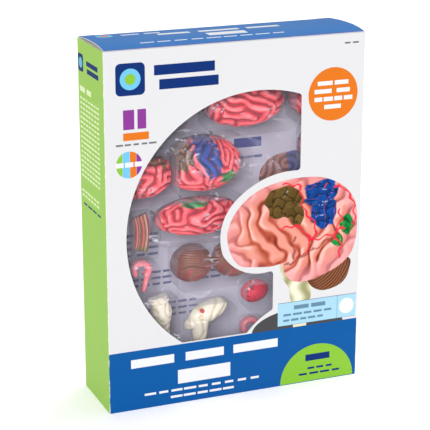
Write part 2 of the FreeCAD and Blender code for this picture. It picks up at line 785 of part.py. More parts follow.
def pieces():
    """Every piece of the model in its place, in groups that share a pocket."""
    gap = web()
    left_edge = left_margin - tray_half_width
    right_edge = tray_half_width - right_margin
    temporal = set_at(
        lobe(temporal_long, temporal_round, temporal_thickness, TEMPORAL_FOLDS, 14, True),
        left=temporal_left, bottom=temporal_bottom,
    )
    row = temporal.BoundBox.ZMax + gap
    parietal = set_at(
        lobe(parietal_long, parietal_round, parietal_thickness, PARIETAL_FOLDS, 12, True,
             -parietal_trim),
        left=parietal_left, bottom=row,
    )
    right_parietal = set_at(
        lobe(right_parietal_long, right_parietal_round, frontal_thickness, PARIETAL_FOLDS, 9, False,
             right_parietal_trim),
        right=parietal.BoundBox.XMin - gap, bottom=row,
    )
    frontal = set_at(
        lobe(frontal_long, frontal_round, frontal_thickness, FRONTAL_FOLDS, 12, True),
        left=frontal_left, bottom=parietal.BoundBox.ZMax + gap,
    )
    right_frontal = set_at(
        lobe(right_frontal_long, right_frontal_round, frontal_thickness, OCCIPITAL_FOLDS, 9, False),
        left=frontal.BoundBox.XMax + gap, bottom=frontal.BoundBox.ZMin + right_frontal_step,
    )
    occipital = set_at(
        lobe(occipital_long, occipital_round, occipital_thickness, OCCIPITAL_FOLDS, 10, True,
             occipital_trim),
        right=occipital_right, top=frontal.BoundBox.ZMax + occipital_step,
    )
    right_occipital = set_at(
        lobe(right_occipital_long, occipital_round, occipital_thickness, OCCIPITAL_FOLDS, 7, False,
             right_occipital_trim),
        right=right_edge, top=right_frontal.BoundBox.ZMin - gap,
    )
    right_temporal = lobe(
        right_temporal_long, temporal_round, temporal_thickness, TEMPORAL_FOLDS, 12, False
    )
    right_temporal = set_at(
        turned(right_temporal, Y_AXIS, 90),
        right=right_edge, top=right_occipital.BoundBox.ZMin - gap,
    )
    left_cerebellum = set_at(
        cerebellum(True), left=cerebellum_left, top=temporal.BoundBox.ZMin - cerebellum_drop
    )
    right_cerebellum = set_at(
        cerebellum(False), left=left_cerebellum.BoundBox.XMax + pair_gap,
        bottom=left_cerebellum.BoundBox.ZMin,
    )
    fan = set_at(fibre_fan(), right=temporal.BoundBox.XMin - gap, bottom=fan_bottom)
    left_fornix = set_at(fornix(), right=fan.BoundBox.XMax, top=fan.BoundBox.ZMin - gap)
    stem = set_at(left_brain_stem(), left=stem_left, top=stem_top)
    right_stem = set_at(right_brain_stem(), left=right_stem_left, top=right_stem_top)
    ganglia = set_at(
        basal_ganglia(), left=ganglia_left, top=left_cerebellum.BoundBox.ZMin - gap
    )
    right_fornix = set_at(fornix(), left=right_fornix_left, top=right_fornix_top)
    left_insula = set_at(
        insula(), left=temporal.BoundBox.XMax + 2 * gap, bottom=left_cerebellum.BoundBox.ZMax + gap
    )
    right_insula = set_at(
        insula(), left=left_insula.BoundBox.XMax + pair_gap, bottom=left_insula.BoundBox.ZMin
    )
    right_fan = set_at(fibre_fan(), left=right_fan_left, bottom=right_fan_bottom)
    right_ganglia = set_at(
        basal_ganglia(), right=right_edge, top=right_temporal.BoundBox.ZMin - gap
    )
    base = set_at(stand_base(), right=right_edge, bottom=base_bottom)
    post = set_at(stand_post(), left=post_left, bottom=post_bottom)
    left_thalamus = set_at(thalamus(), left=left_edge, bottom=thalamus_bottom)
    right_thalamus = set_at(
        thalamus(), left=left_edge, top=left_thalamus.BoundBox.ZMin - pair_gap
    )
    left_ventricle = set_at(ventricle(), left=ventricle_left, bottom=ventricle_bottom)
    right_ventricle = set_at(
        ventricle(), left=left_ventricle.BoundBox.XMax + pair_gap,
        bottom=left_ventricle.BoundBox.ZMin,
    )
    left_callosum = set_at(
        corpus_callosum(), left=callosum_left, bottom=frontal.BoundBox.ZMax + gap
    )
    right_callosum = set_at(
        corpus_callosum(), left=left_callosum.BoundBox.XMax + pair_gap,
        bottom=left_callosum.BoundBox.ZMin,
    )
    left_nerve = set_at(optic_nerve(), left=left_edge, bottom=occipital.BoundBox.ZMax + gap)
    right_nerve = set_at(
        optic_nerve(), left=left_nerve.BoundBox.XMax + pair_gap, bottom=left_nerve.BoundBox.ZMin
    )
    ring = set_at(
        artery_ring(), left=right_nerve.BoundBox.XMax + gap, bottom=left_nerve.BoundBox.ZMin
    )
    return (
        {"left_parietal_lobe": parietal},
        {"right_parietal_lobe": right_parietal},
        {"left_frontal_lobe": frontal},
        {"right_frontal_lobe": right_frontal},
        {"left_temporal_lobe": temporal},
        {"right_temporal_lobe": right_temporal},
        {"left_occipital_lobe": occipital},
        {"right_occipital_lobe": right_occipital},
        {"left_cerebellum": left_cerebellum, "right_cerebellum": right_cerebellum},
        {"left_brain_stem": stem},
        {"right_brain_stem": right_stem},
        {"left_fibre_fan": fan},
        {"right_fibre_fan": right_fan},
        {"left_fornix": left_fornix},
        {"right_fornix": right_fornix},
        {"left_basal_ganglia": ganglia},
        {"right_basal_ganglia": right_ganglia},
        {"left_thalamus": left_thalamus, "right_thalamus": right_thalamus},
        {"left_insula": left_insula, "right_insula": right_insula},
        {"left_ventricle": left_ventricle, "right_ventricle": right_ventricle},
        {"left_corpus_callosum": left_callosum, "right_corpus_callosum": right_callosum},
        {"left_optic_nerve": left_nerve, "right_optic_nerve": right_nerve},
        {"artery_ring": ring},
        {"stand_post": post},
        {"stand_base": base},
    )


def drafted_block(bounds, grown, corner, mouth_depth, floor_depth):
    """A rounded block round those bounds that widens by the draft towards its mouth."""
    widening = pocket_growth(floor_depth) - pocket_growth(mouth_depth)
    y0 = at_depth(mouth_depth)
    y1 = at_depth(floor_depth)
    x0 = bounds.XMin - grown
    x1 = bounds.XMax + grown
    z0 = bounds.ZMin - grown
    z1 = bounds.ZMax + grown
    cones = []
    for x in (x0 + corner, x1 - corner):
        for z in (z0 + corner, z1 - corner):
            cones.append(Part.makeCone(corner + widening, corner, y1 - y0, vector(x, y0, z), Y_AXIS))
    wide = Part.makeWedge(
        x0 - widening, y0, z0 + corner, z0 + corner, x0,
        x1 + widening, y1, z1 - corner, z1 - corner, x1,
    )
    high = Part.makeWedge(
        x0 + corner, y0, z0 - widening, z0, x0 + corner,
        x1 - corner, y1, z1 + widening, z1, x1 - corner,
    )
    return wide.fuse([high] + cones).removeSplitter()


def pocket_solid(group, wall):
    """The space of a group's pocket, with a wall added all round where that isn't 0."""
    bounds = Part.makeCompound(list(group.values())).BoundBox
    floor_depth = bounds.YMax - front_face + seat_gap
    grown = pocket_clearance + wall
    corner = pocket_corner * min(bounds.XLength, bounds.ZLength) + grown
    if wall:
        return drafted_block(bounds, grown, corner, tray_plane_depth, floor_depth + wall)
    return drafted_block(bounds, grown, corner, tray_plane_depth - 1.0, floor_depth)


def tray(groups):
    """The formed sheet: a raised rim with a skirt, and a plane with a pocket per group."""
    half = tray_half_width
    low = tray_bottom
    high = tray_bottom + tray_height
    step = tray_rim_width
    shell = upright_slab(-half, half, low, high, tray_corner, tray_rim_depth, tray_skirt_depth)
    hollow = upright_slab(
        -half + tray_sheet, half - tray_sheet, low + tray_sheet, high - tray_sheet,
        tray_corner - tray_sheet, tray_rim_depth + tray_sheet, tray_skirt_depth + 1.0,
    )
    well = upright_slab(
        -half + step, half - step, low + step, high - step,
        tray_corner - step, tray_rim_depth, tray_plane_depth + tray_sheet,
    )
    well_space = upright_slab(
        -half + step + tray_sheet, half - step - tray_sheet,
        low + step + tray_sheet, high - step - tray_sheet,
        tray_corner - step - tray_sheet, tray_rim_depth - 1.0, tray_plane_depth,
    )
    walls = [pocket_solid(group, tray_sheet) for group in groups]
    spaces = [pocket_solid(group, 0.0) for group in groups]
    formed = shell.cut(hollow).fuse([well] + walls)
    return formed.cut([well_space] + spaces)


def tray_cover():
    """A clear sheet that lies inside the tray's rim, in front of the pieces."""
    inset = tray_rim_width + tray_sheet + cover_gap
    half = tray_half_width - inset
    back = tray_plane_depth - cover_gap
    return upright_slab(
        -half, half, tray_bottom + inset, tray_bottom + tray_height - inset,
        tray_corner - inset, back - cover_sheet, back,
    )


def guide():
    """A stapled leaflet, closed, its spine at the left and its pages' edges at the right."""
    half = guide_width / 2
    back = carton_depth - card - guide_gap
    leaflet = box(
        -half, half, at_depth(back - guide_thickness), at_depth(back),
        tray_bottom, tray_bottom + guide_height,
    )
    spine = [
        edge for edge in leaflet.Edges
        if edge.Length > guide_height - 1 and edge.Vertexes[0].X < 0
    ]
    return leaflet.makeFillet(guide_thickness * 0.45, spine)


def main():
    groups = pieces()
    nodes = {
        "carton": carton(),
        "lid": lid(),
        "tray": tray(groups),
        "tray_cover": tray_cover(),
        "guide": guide(),
    }
    for group in groups:
        nodes.update(group)
    os.makedirs("parts", exist_ok=True)
    for name, shape in nodes.items():
        shape.exportStep(f"parts/{name}.step")


main()
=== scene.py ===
"""Dresses the boxed brain model kit: the carton's print, the clear tray and its cover, the
folds and paint of the model's pieces, the guide behind them, and a plain studio.

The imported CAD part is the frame. Places and sizes of print and pieces are in millimetres
in the tables here, and MM turns them into the frame's metres.
"""

import math

import bmesh
import bpy
import numpy as np
from mathutils import Matrix, Vector, noise


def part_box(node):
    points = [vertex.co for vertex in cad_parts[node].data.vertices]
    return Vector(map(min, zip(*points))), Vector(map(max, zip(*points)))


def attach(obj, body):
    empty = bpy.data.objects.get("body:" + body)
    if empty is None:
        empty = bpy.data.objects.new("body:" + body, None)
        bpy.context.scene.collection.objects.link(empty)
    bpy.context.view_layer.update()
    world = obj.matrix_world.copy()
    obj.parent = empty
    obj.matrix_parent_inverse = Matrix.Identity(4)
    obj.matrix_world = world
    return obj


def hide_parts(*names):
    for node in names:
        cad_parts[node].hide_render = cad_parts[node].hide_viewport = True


bl_info = {
    "name": "Boxed Brain Model Kit",
    "version": (1, 0, 0),
    "blender": (4, 5, 0),
    "location": "View3D > Sidebar > Brain Kit",
    "description": "Prints the carton, paints the model's pieces and sets up the studio",
    "category": "Object",
}

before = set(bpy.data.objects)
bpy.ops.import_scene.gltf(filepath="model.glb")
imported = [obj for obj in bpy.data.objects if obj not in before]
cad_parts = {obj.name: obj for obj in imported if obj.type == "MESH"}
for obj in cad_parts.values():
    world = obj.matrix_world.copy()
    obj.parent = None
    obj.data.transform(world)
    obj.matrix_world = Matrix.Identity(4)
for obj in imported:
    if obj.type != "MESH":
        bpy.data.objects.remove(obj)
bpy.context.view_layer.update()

MM = 0.001
CARTON_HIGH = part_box("carton")[1]
HALF_WIDTH = CARTON_HIGH.x
HALF_DEPTH = CARTON_HIGH.y
BAND_TOP = 53.0


# Colours and settings


def srgb(red, green, blue):
    """A colour from 0 to 255 a channel, as the linear values that shaders take."""
    linear = []
    for channel in (red, green, blue):
        share = channel / 255
        linear.append(share / 12.92 if share <= 0.04045 else ((share + 0.055) / 1.055) ** 2.4)
    return tuple(linear)


def colour_setting(name, description, default):
    return bpy.props.FloatVectorProperty(
        name=name, description=description, subtype="COLOR", size=3, min=0, max=1, default=default
    )


def length_setting(name, description, default):
    return bpy.props.FloatProperty(
        name=name, description=description, default=default, min=0, unit="LENGTH", precision=5
    )


def share_setting(name, description, default):
    return bpy.props.FloatProperty(
        name=name, description=description, default=default, min=0, max=1, subtype="FACTOR"
    )


class CartonSettings(bpy.types.PropertyGroup):
    front: colour_setting("Front", "White of the windowed front", srgb(211, 211, 213))
    band: colour_setting("Band", "Blue band along the foot of the front", srgb(0, 82, 150))
    side: colour_setting("Side", "Green of the narrow sides", srgb(157, 201, 92))
    top: colour_setting("Top", "Blue of the lid", srgb(42, 111, 180))
    core: colour_setting("Board", "Bare board inside and on cut edges", srgb(226, 224, 220))
    band_height: length_setting("Band height", "Height of the blue band", BAND_TOP * MM)
    ink: length_setting("Ink", "How far print stands off the card", 0.00005)


class PrintSettings(bpy.types.PropertyGroup):
    navy: colour_setting("Navy", "Dark blue print", srgb(2, 42, 108))
    purple: colour_setting("Purple", "Purple print", srgb(132, 54, 142))
    orange: colour_setting("Orange", "Orange print", srgb(214, 112, 24))
    sky: colour_setting("Sky", "Light blue print", srgb(108, 186, 222))
    leaf: colour_setting("Leaf", "Green print", srgb(130, 184, 54))
    panel: colour_setting("Panel", "Light blue panel", srgb(160, 202, 222))
    grey: colour_setting("Grey", "Small grey print", srgb(110, 108, 116))
    white: colour_setting("White", "Print that shows the white board", srgb(222, 223, 226))


class ModelSettings(bpy.types.PropertyGroup):
    fold_spacing: length_setting("Fold spacing", "From one fold's crest to the next", 0.0068)
    fold_depth: length_setting("Fold depth", "How deep the folds of a lobe go", 0.0021)
    # Pink crests and dark red grooves are painted light and painted shade about the lobes' red; the
    # insula has the crest pink as its own paint
    crest: colour_setting("Crest", "Pink on the folds' crests", srgb(255, 140, 144))
    flank: colour_setting("Flank", "Red on the folds' flanks", srgb(244, 58, 72))
    groove: colour_setting("Groove", "Dark red in the folds", srgb(158, 14, 34))
    olive: colour_setting("Olive area", "Olive painted area", srgb(102, 78, 34))
    blue: colour_setting("Blue area", "Blue painted area", srgb(10, 68, 148))
    green: colour_setting("Green area", "Green painted area", srgb(14, 134, 58))
    brown: colour_setting("Cerebellum", "Brown of the cerebellum", srgb(118, 62, 44))
    ivory: colour_setting("Ivory", "Ivory of the stem and inner pieces", srgb(246, 238, 220))
    crimson: colour_setting("Crimson", "Red of the inner discs and vessels", srgb(214, 8, 50))
    rose: colour_setting("Rose", "Pink of the arched inner pieces", srgb(246, 122, 136))


class ClearSettings(bpy.types.PropertyGroup):
    tint: colour_setting("Tint", "Tint of the clear sheets", srgb(222, 217, 236))
    tray_body: share_setting("Tray body", "How much of the tray's own tint shows", 0.02)
    cover_body: share_setting("Cover body", "How much of the cover's own tint shows", 0.03)
    gloss: share_setting("Roughness", "Roughness of the clear sheets", 0.14)


class StudioSettings(bpy.types.PropertyGroup):
    floor: colour_setting("Floor", "Pale floor", srgb(244, 244, 245))
    sky: bpy.props.FloatProperty(
        name="Sky", description="Strength of the even light all round", default=0.25, min=0
    )
    key: bpy.props.FloatProperty(
        name="Key", description="Strength of the soft lamp in front", default=2.3, min=0
    )
    lens: bpy.props.FloatProperty(
        name="Lens", description="Focal length", default=131.2, min=1, unit="CAMERA"
    )


def settings(group):
    return getattr(bpy.context.scene, "brain_kit_" + group)


# Node trees


def put(tree, value, socket):
    """Joins a socket to another, or sets it to a plain value."""
    if isinstance(value, bpy.types.NodeSocket):
        tree.links.new(value, socket)
    elif socket.type == "RGBA" and len(value) == 3:
        socket.default_value = (*value, 1.0)
    else:
        socket.default_value = value


def add(tree, kind, inputs=None, **choices):
    """A new node, with its choices and its input sockets set or joined."""
    node = tree.nodes.new(kind)
    for name, choice in choices.items():
        setattr(node, name, choice)
    for key, value in (inputs or {}).items():
        put(tree, value, node.inputs[key])
    return node


def calc(tree, operation, first, second=0.0, third=0.0):
    node = add(tree, "ShaderNodeMath", {0: first, 1: second, 2: third}, operation=operation)
    return node.outputs[0]


def blend(tree, factor, first, second):
    """A mix of two colours."""
    node = add(tree, "ShaderNodeMix", {0: factor, 6: first, 7: second}, data_type="RGBA")
    return node.outputs[2]


def ease(tree, value, low, high):
    """0 below low, 1 above high and a soft rise between."""
    node = add(
        tree,
        "ShaderNodeMapRange",
        {"Value": value, "From Min": low, "From Max": high},
        interpolation_type="SMOOTHSTEP",
    )
    return node.outputs["Result"]


def place_on_piece(tree):
    return add(tree, "ShaderNodeTexCoord").outputs["Object"]


def millimetres(tree):
    """The three Object coordinates in millimetres."""
    place = {0: place_on_piece(tree), "Scale": 1 / MM}
    scaled = add(tree, "ShaderNodeVectorMath", place, operation="SCALE")
    split = add(tree, "ShaderNodeSeparateXYZ", {0: scaled.outputs[0]})
    return split.outputs["X"], split.outputs["Y"], split.outputs["Z"]


def noise_texture(tree, place, **sizes):
    return add(tree, "ShaderNodeTexNoise", {"Vector": place, **sizes}).outputs["Fac"]


def new_group(name, inputs, outputs):
    """An empty shader group with its named sockets, and its input and output nodes."""
    tree = bpy.data.node_groups.new(name, "ShaderNodeTree")
    for label, kind, default in inputs:
        socket = tree.interface.new_socket(label, in_out="INPUT", socket_type=kind)
        socket.default_value = default
    for label, kind in outputs:
        tree.interface.new_socket(label, in_out="OUTPUT", socket_type=kind)
    return tree, add(tree, "NodeGroupInput").outputs, add(tree, "NodeGroupOutput").inputs


FINISH_OUTPUTS = (
    ("Color", "NodeSocketColor"),
    ("Roughness", "NodeSocketFloat"),
    ("Height", "NodeSocketFloat"),
)


def card_surface_group():
    """Fine paper fibres and slight soiling, for everything made of board or paper."""
    tree, given, result = new_group(
        "Card surface",
        (
            ("Color", "NodeSocketColor", (0.8, 0.8, 0.8, 1)),
            ("Soiling", "NodeSocketFloat", 0.04),
            ("Fibre Scale", "NodeSocketFloat", 900.0),
        ),
        FINISH_OUTPUTS,
    )
    place = place_on_piece(tree)
    fibres = noise_texture(tree, place, Scale=given["Fibre Scale"], Detail=2.0)
    cloud = noise_texture(tree, place, Scale=14.0, Detail=3.0)
    shade = calc(tree, "MULTIPLY", cloud, given["Soiling"])
    put(tree, blend(tree, shade, given["Color"], (0.25, 0.24, 0.25, 1)), result["Color"])
    put(tree, calc(tree, "MULTIPLY_ADD", cloud, 0.16, 0.45), result["Roughness"])
    put(tree, fibres, result["Height"])
    return tree


def paint_group():
    """Brushed paint over moulded plastic: uneven cover and small pits."""
    tree, given, result = new_group(
        "Brushed paint",
        (
            ("Color", "NodeSocketColor", (0.8, 0.8, 0.8, 1)),
            ("Wash", "NodeSocketColor", (0.3, 0.05, 0.05, 1)),
            ("Unevenness", "NodeSocketFloat", 0.35),
            ("Scale", "NodeSocketFloat", 260.0),
        ),
        FINISH_OUTPUTS,
    )
    place = place_on_piece(tree)
    brush = noise_texture(tree, place, Scale=given["Scale"], Detail=4.0, Distortion=0.6)
    patch = ease(tree, brush, 0.45, 0.75)
    cover = calc(tree, "MULTIPLY", patch, given["Unevenness"])
    put(tree, blend(tree, cover, given["Color"], given["Wash"]), result["Color"])
    put(tree, calc(tree, "MULTIPLY_ADD", brush, 0.2, 0.26), result["Roughness"])
    put(tree, brush, result["Height"])
    return tree


def wrinkle_group():
    """Soft wrinkles of thin clear sheet, with painted shade in their hollows and painted glints."""
    tree, given, result = new_group(
        "Sheet wrinkles",
        (
            ("Scale", "NodeSocketFloat", 30.0),
            ("Stretch", "NodeSocketVector", (1.0, 1.0, 0.45)),
            ("Streaks", "NodeSocketFloat", 0.5),
        ),
        tuple((label, "NodeSocketFloat") for label in ("Painted Glint", "Shade", "Height")),
    )
    stretched = {0: place_on_piece(tree), 1: given["Stretch"]}
    drawn = add(tree, "ShaderNodeVectorMath", stretched, operation="MULTIPLY").outputs[0]
    swell = noise_texture(
        tree, drawn, Scale=given["Scale"], Detail=5.0, Roughness=0.55, Distortion=2.2
    )
    finer = calc(tree, "MULTIPLY", given["Scale"], 3.1)
    thin = noise_texture(tree, drawn, Scale=finer, Detail=3.0, Distortion=3.5)
    ridge = calc(tree, "ABSOLUTE", calc(tree, "SUBTRACT", thin, 0.5))
    glint = calc(tree, "SUBTRACT", 1.0, ease(tree, ridge, 0.0, 0.035))
    # Painted glints: bright thin lines where the wrinkles swell
    lit = calc(tree, "MULTIPLY", glint, ease(tree, swell, 0.55, 0.66))
    put(tree, calc(tree, "MULTIPLY", lit, given["Streaks"]), result["Painted Glint"])
    # Painted shade: low in the wrinkles' hollows
    put(tree, ease(tree, swell, 0.32, 0.66), result["Shade"])
    put(tree, calc(tree, "MULTIPLY_ADD", thin, 0.3, swell), result["Height"])
    return tree


GROUPS = {
    "Card surface": card_surface_group,
    "Brushed paint": paint_group,
    "Sheet wrinkles": wrinkle_group,
}


def use_group(tree, name, inputs):
    """A shader group in this material, built the first time that it is asked for."""
    group = bpy.data.node_groups.get(name) or GROUPS[name]()
    return add(tree, "ShaderNodeGroup", inputs, node_tree=group).outputs


def new_material(name):
    """A material with its Principled shader joined to its output."""
    material = bpy.data.materials.new(name)
    material.use_nodes = True
    tree = material.node_tree
    tree.nodes.clear()
    surface = add(tree, "ShaderNodeBsdfPrincipled")
    add(tree, "ShaderNodeOutputMaterial", {"Surface": surface.outputs[0]})
    return material, tree, surface.inputs


def bump(tree, height, distance):
    node = add(tree, "ShaderNodeBump", {"Height": height, "Distance": distance, "Strength": 1.0})
    return node.outputs["Normal"]


def printed(tree, surface, colour, soiling=0.03):
    """Finishes a material as satin print on board."""
    card = use_group(tree, "Card surface", {"Color": colour, "Soiling": soiling})
    put(tree, card["Color"], surface["Base Color"])
    put(tree, card["Roughness"], surface["Roughness"])
    surface["Specular IOR Level"].default_value = 0.06
    fibre_height = 0.00001
    put(tree, bump(tree, card["Height"], fibre_height), surface["Normal"])


MORE_INKS = {
    "charcoal": srgb(68, 68, 70),
    "ivory": srgb(222, 214, 180),
    "slate": srgb(96, 130, 156),
    "pale": srgb(222, 240, 250),
    "pale green": srgb(226, 240, 190),
    "guide blue": srgb(0, 36, 142),
    "guide grey": srgb(96, 100, 150),
}


def ink_material(ink):
    name = ink.capitalize() + " ink"
    material = bpy.data.materials.get(name)
    if material is None:
        material, tree, surface = new_material(name)
        printed(tree, surface, MORE_INKS.get(ink) or getattr(settings("print"), ink))
    return material


def carton_material():
    """White front with its blue band, green sides, white back and bare board inside."""
    card = settings("carton")
    skin = 0.35
    scuff_width = 0.75
    material, tree, surface = new_material("Printed carton board")
    x, y, z = millimetres(tree)
    over_x = calc(tree, "SUBTRACT", calc(tree, "ABSOLUTE", x), HALF_WIDTH / MM)
    over_y = calc(tree, "SUBTRACT", calc(tree, "ABSOLUTE", y), HALF_DEPTH / MM)
    outside = calc(tree, "GREATER_THAN", calc(tree, "MAXIMUM", over_x, over_y), -skin)
    on_side = calc(tree, "GREATER_THAN", over_x, over_y)
    in_front = calc(tree, "LESS_THAN", y, 0.0)
    in_band = calc(tree, "LESS_THAN", z, card.band_height / MM)
    band = blend(tree, calc(tree, "MULTIPLY", in_front, in_band), card.front, card.band)
    print_colour = blend(tree, on_side, band, card.side)
    worn = noise_texture(tree, place_on_piece(tree), Scale=160.0, Detail=4.0)
    fold = calc(tree, "SUBTRACT", 0.0, calc(tree, "ADD", over_x, over_y))
    near_fold = calc(tree, "LESS_THAN", fold, scuff_width)
    crack = calc(tree, "MULTIPLY", near_fold, ease(tree, worn, 0.5, 0.62))
    scuffed = blend(tree, calc(tree, "MULTIPLY", crack, 0.6), print_colour, card.core)
    printed(tree, surface, blend(tree, outside, card.core, scuffed))
    return material


def lid_material():
    """Blue on the lid's upper face, bare board below and on its cut ends."""
    card = settings("carton")
    material, tree, surface = new_material("Printed lid board")
    normal = add(tree, "ShaderNodeTexCoord").outputs["Normal"]
    split = add(tree, "ShaderNodeSeparateXYZ", {0: normal}).outputs
    level = calc(tree, "LESS_THAN", calc(tree, "ABSOLUTE", split["X"]), 0.5)
    upper = calc(tree, "MULTIPLY", calc(tree, "GREATER_THAN", split["Z"], 0.2), level)
    printed(tree, surface, blend(tree, upper, card.core, card.top))
    return material


def painted_material(name):
    """One of the painted plastics, in one colour or in those of a socket-making function."""
    colour, wash, unevenness, scale, coat = PLASTICS[name]
    material, tree, surface = new_material(name)
    if isinstance(colour, str):
        colour = getattr(settings("model"), colour)
    base = colour(tree) if callable(colour) else colour
    given = {"Color": base, "Wash": wash, "Unevenness": unevenness, "Scale": scale}
    paint = use_group(tree, "Brushed paint", given)
    put(tree, paint["Color"], surface["Base Color"])
    put(tree, paint["Roughness"], surface["Roughness"])
    brush_height = 0.00012
    put(tree, bump(tree, paint["Height"], brush_height), surface["Normal"])
    surface["Specular IOR Level"].default_value = 0.3
    surface["Coat Weight"].default_value = coat
    surface["Coat Roughness"].default_value = 0.2
    return material


def paint_attribute(tree):
    return add(tree, "ShaderNodeAttribute", attribute_name="paint").outputs["Color"]


def picture_material(name):
    """Print in the colours that a piece keeps for its points."""
    material, tree, surface = new_material(name)
    printed(tree, surface, paint_attribute(tree), 0.02)
    return material


def clear_material(name, body, rim, depth_of_shade, scale, stretch, glint_strength):
    """Clear sheet: its tint shows a little, more towards its edges; painted shade darkens the tint
    in its wrinkles, and painted glints turn it near white.
    """
    clear = settings("clear")
    material, tree, surface = new_material(name)
    sheet = use_group(
        tree, "Sheet wrinkles", {"Scale": scale, "Stretch": stretch, "Streaks": glint_strength}
    )
    # Painted shade: the tint darkens in the wrinkles' hollows
    dark = tuple(depth_of_shade * channel for channel in clear.tint)
    tinted = blend(tree, sheet["Shade"], dark, tuple(clear.tint))
    # Painted glints: the colour turns near white along their lines
    put(tree, blend(tree, sheet["Painted Glint"], tinted, (0.95, 0.95, 1.0)), surface["Base Color"])
    wrinkle_height = 0.0014
    relief = bump(tree, sheet["Height"], wrinkle_height)
    put(tree, relief, surface["Normal"])
    surface["Roughness"].default_value = clear.gloss
    surface["Specular IOR Level"].default_value = 0.3
    edge = add(tree, "ShaderNodeLayerWeight", {"Blend": 0.32, "Normal": relief}).outputs["Facing"]
    cover = calc(tree, "MULTIPLY_ADD", edge, rim, body)
    # Painted glints also show the sheet in full along their lines
    shown = calc(tree, "MAXIMUM", cover, sheet["Painted Glint"])
    put(tree, calc(tree, "MINIMUM", shown, 0.96), surface["Alpha"])
    return material


# Meshes


def add_object(name, data):
    thing = bpy.data.objects.new(name, data)
    bpy.context.scene.collection.objects.link(thing)
    return thing


def place_piece(name, mesh, body="root"):
    """Puts a finished mesh in the scene as a piece that rides on its body."""
    piece = add_object(name, mesh)
    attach(piece, body)
    return piece


def new_piece(name, vertices, faces, material, smooth=False):
    """A finished piece from its points in metres."""
    mesh = bpy.data.meshes.new(name)
    mesh.from_pydata(vertices, [], faces)
    mesh.validate()
    mesh.update()
    mesh.materials.append(material)
    mesh.polygons.foreach_set("use_smooth", [smooth] * len(mesh.polygons))
    return place_piece(name, mesh)


def ring_faces(count, rings):
    """A fan of faces round point 0, and the rings of faces about it."""
    faces = [(0, 1 + k, 1 + (k + 1) % count) for k in range(count)]
    for ring in range(rings):
        inner = 1 + ring * count
        outer = inner + count
        for k in range(count):
            after = (k + 1) % count
            faces.append((inner + k, outer + k, outer + after, inner + after))
    return faces


def store_paint(piece, colours):
    """Keeps a colour for each vertex as the piece's own attribute."""
    layer = piece.data.attributes.new("paint", "FLOAT_COLOR", "POINT")
    rgba = np.ones((len(piece.data.vertices), 4), np.float32)
    rgba[:, :3] = colours
    layer.data.foreach_set("color", rgba.ravel())


def repaint_node(name, material):
    """Gives a CAD node its finish and leaves its shape alone."""
    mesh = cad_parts[name].data
    mesh.materials.clear()
    mesh.materials.append(material)


def repaint_pair(part):
    """Paints the left and the right piece of a kind that keeps its CAD form."""
    name = PLAIN_PIECES[part]
    material = bpy.data.materials.get(name) or painted_material(name)
    for side in ("left", "right"):
        repaint_node(f"{side}_{part}", material)


# Print: thin slabs of ink just off the card

LID_CROWN = 2.2
LID_CROWN_Y = -8.152
LID_HINGE_Y = -32.7
LID_FOLD_Y = 31.9


def lid_rise(y):
    """Height of the lid's upper face above its straight edges, in millimetres."""
    run = (LID_HINGE_Y if y < LID_CROWN_Y else LID_FOLD_Y) - LID_CROWN_Y
    radius = (run * run + LID_CROWN * LID_CROWN) / (2 * LID_CROWN)
    return LID_CROWN - (radius - math.sqrt(max(radius * radius - (y - LID_CROWN_Y) ** 2, 0.0)))


def panel_place(panel):
    """Turns flat print (X along, Z up, facing -Y) onto a panel of the carton."""
    quarter = math.pi / 2
    places = {
        "front": Matrix.Translation((0, -HALF_DEPTH, 0)),
        "left": Matrix.Translation((-HALF_WIDTH, 0, 0)) @ Matrix.Rotation(-quarter, 4, "Z"),
        "right": Matrix.Translation((HALF_WIDTH, 0, 0)) @ Matrix.Rotation(quarter, 4, "Z"),
        "top": Matrix.Translation((0, 0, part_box("lid")[1].z)) @ Matrix.Rotation(-quarter, 4, "X"),
        "guide": Matrix.Translation((0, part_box("guide")[0].y, 0)),
    }
    return places[panel]


def geometry_tree(name, inputs):
    """An empty Geometry Nodes tree with its named inputs, and its input node's sockets."""
    tree = bpy.data.node_groups.new(name, "GeometryNodeTree")
    tree.interface.new_socket("Geometry", in_out="INPUT", socket_type="NodeSocketGeometry")
    for label, kind, default in inputs:
        socket = tree.interface.new_socket(label, in_out="INPUT", socket_type=kind)
        socket.default_value = default
    tree.interface.new_socket("Material", in_out="INPUT", socket_type="NodeSocketMaterial")
    tree.interface.new_socket("Geometry", in_out="OUTPUT", socket_type="NodeSocketGeometry")
    return tree, add(tree, "NodeGroupInput").outputs


def end_tree(tree, geometry, material):
    """Makes the tree's copies real, and gives them their material."""
    solid = add(tree, "GeometryNodeRealizeInstances", {"Geometry": geometry})
    finished = add(
        tree, "GeometryNodeSetMaterial", {"Geometry": solid.outputs[0], "Material": material}
    )
    add(tree, "NodeGroupOutput", {0: finished.outputs[0]})


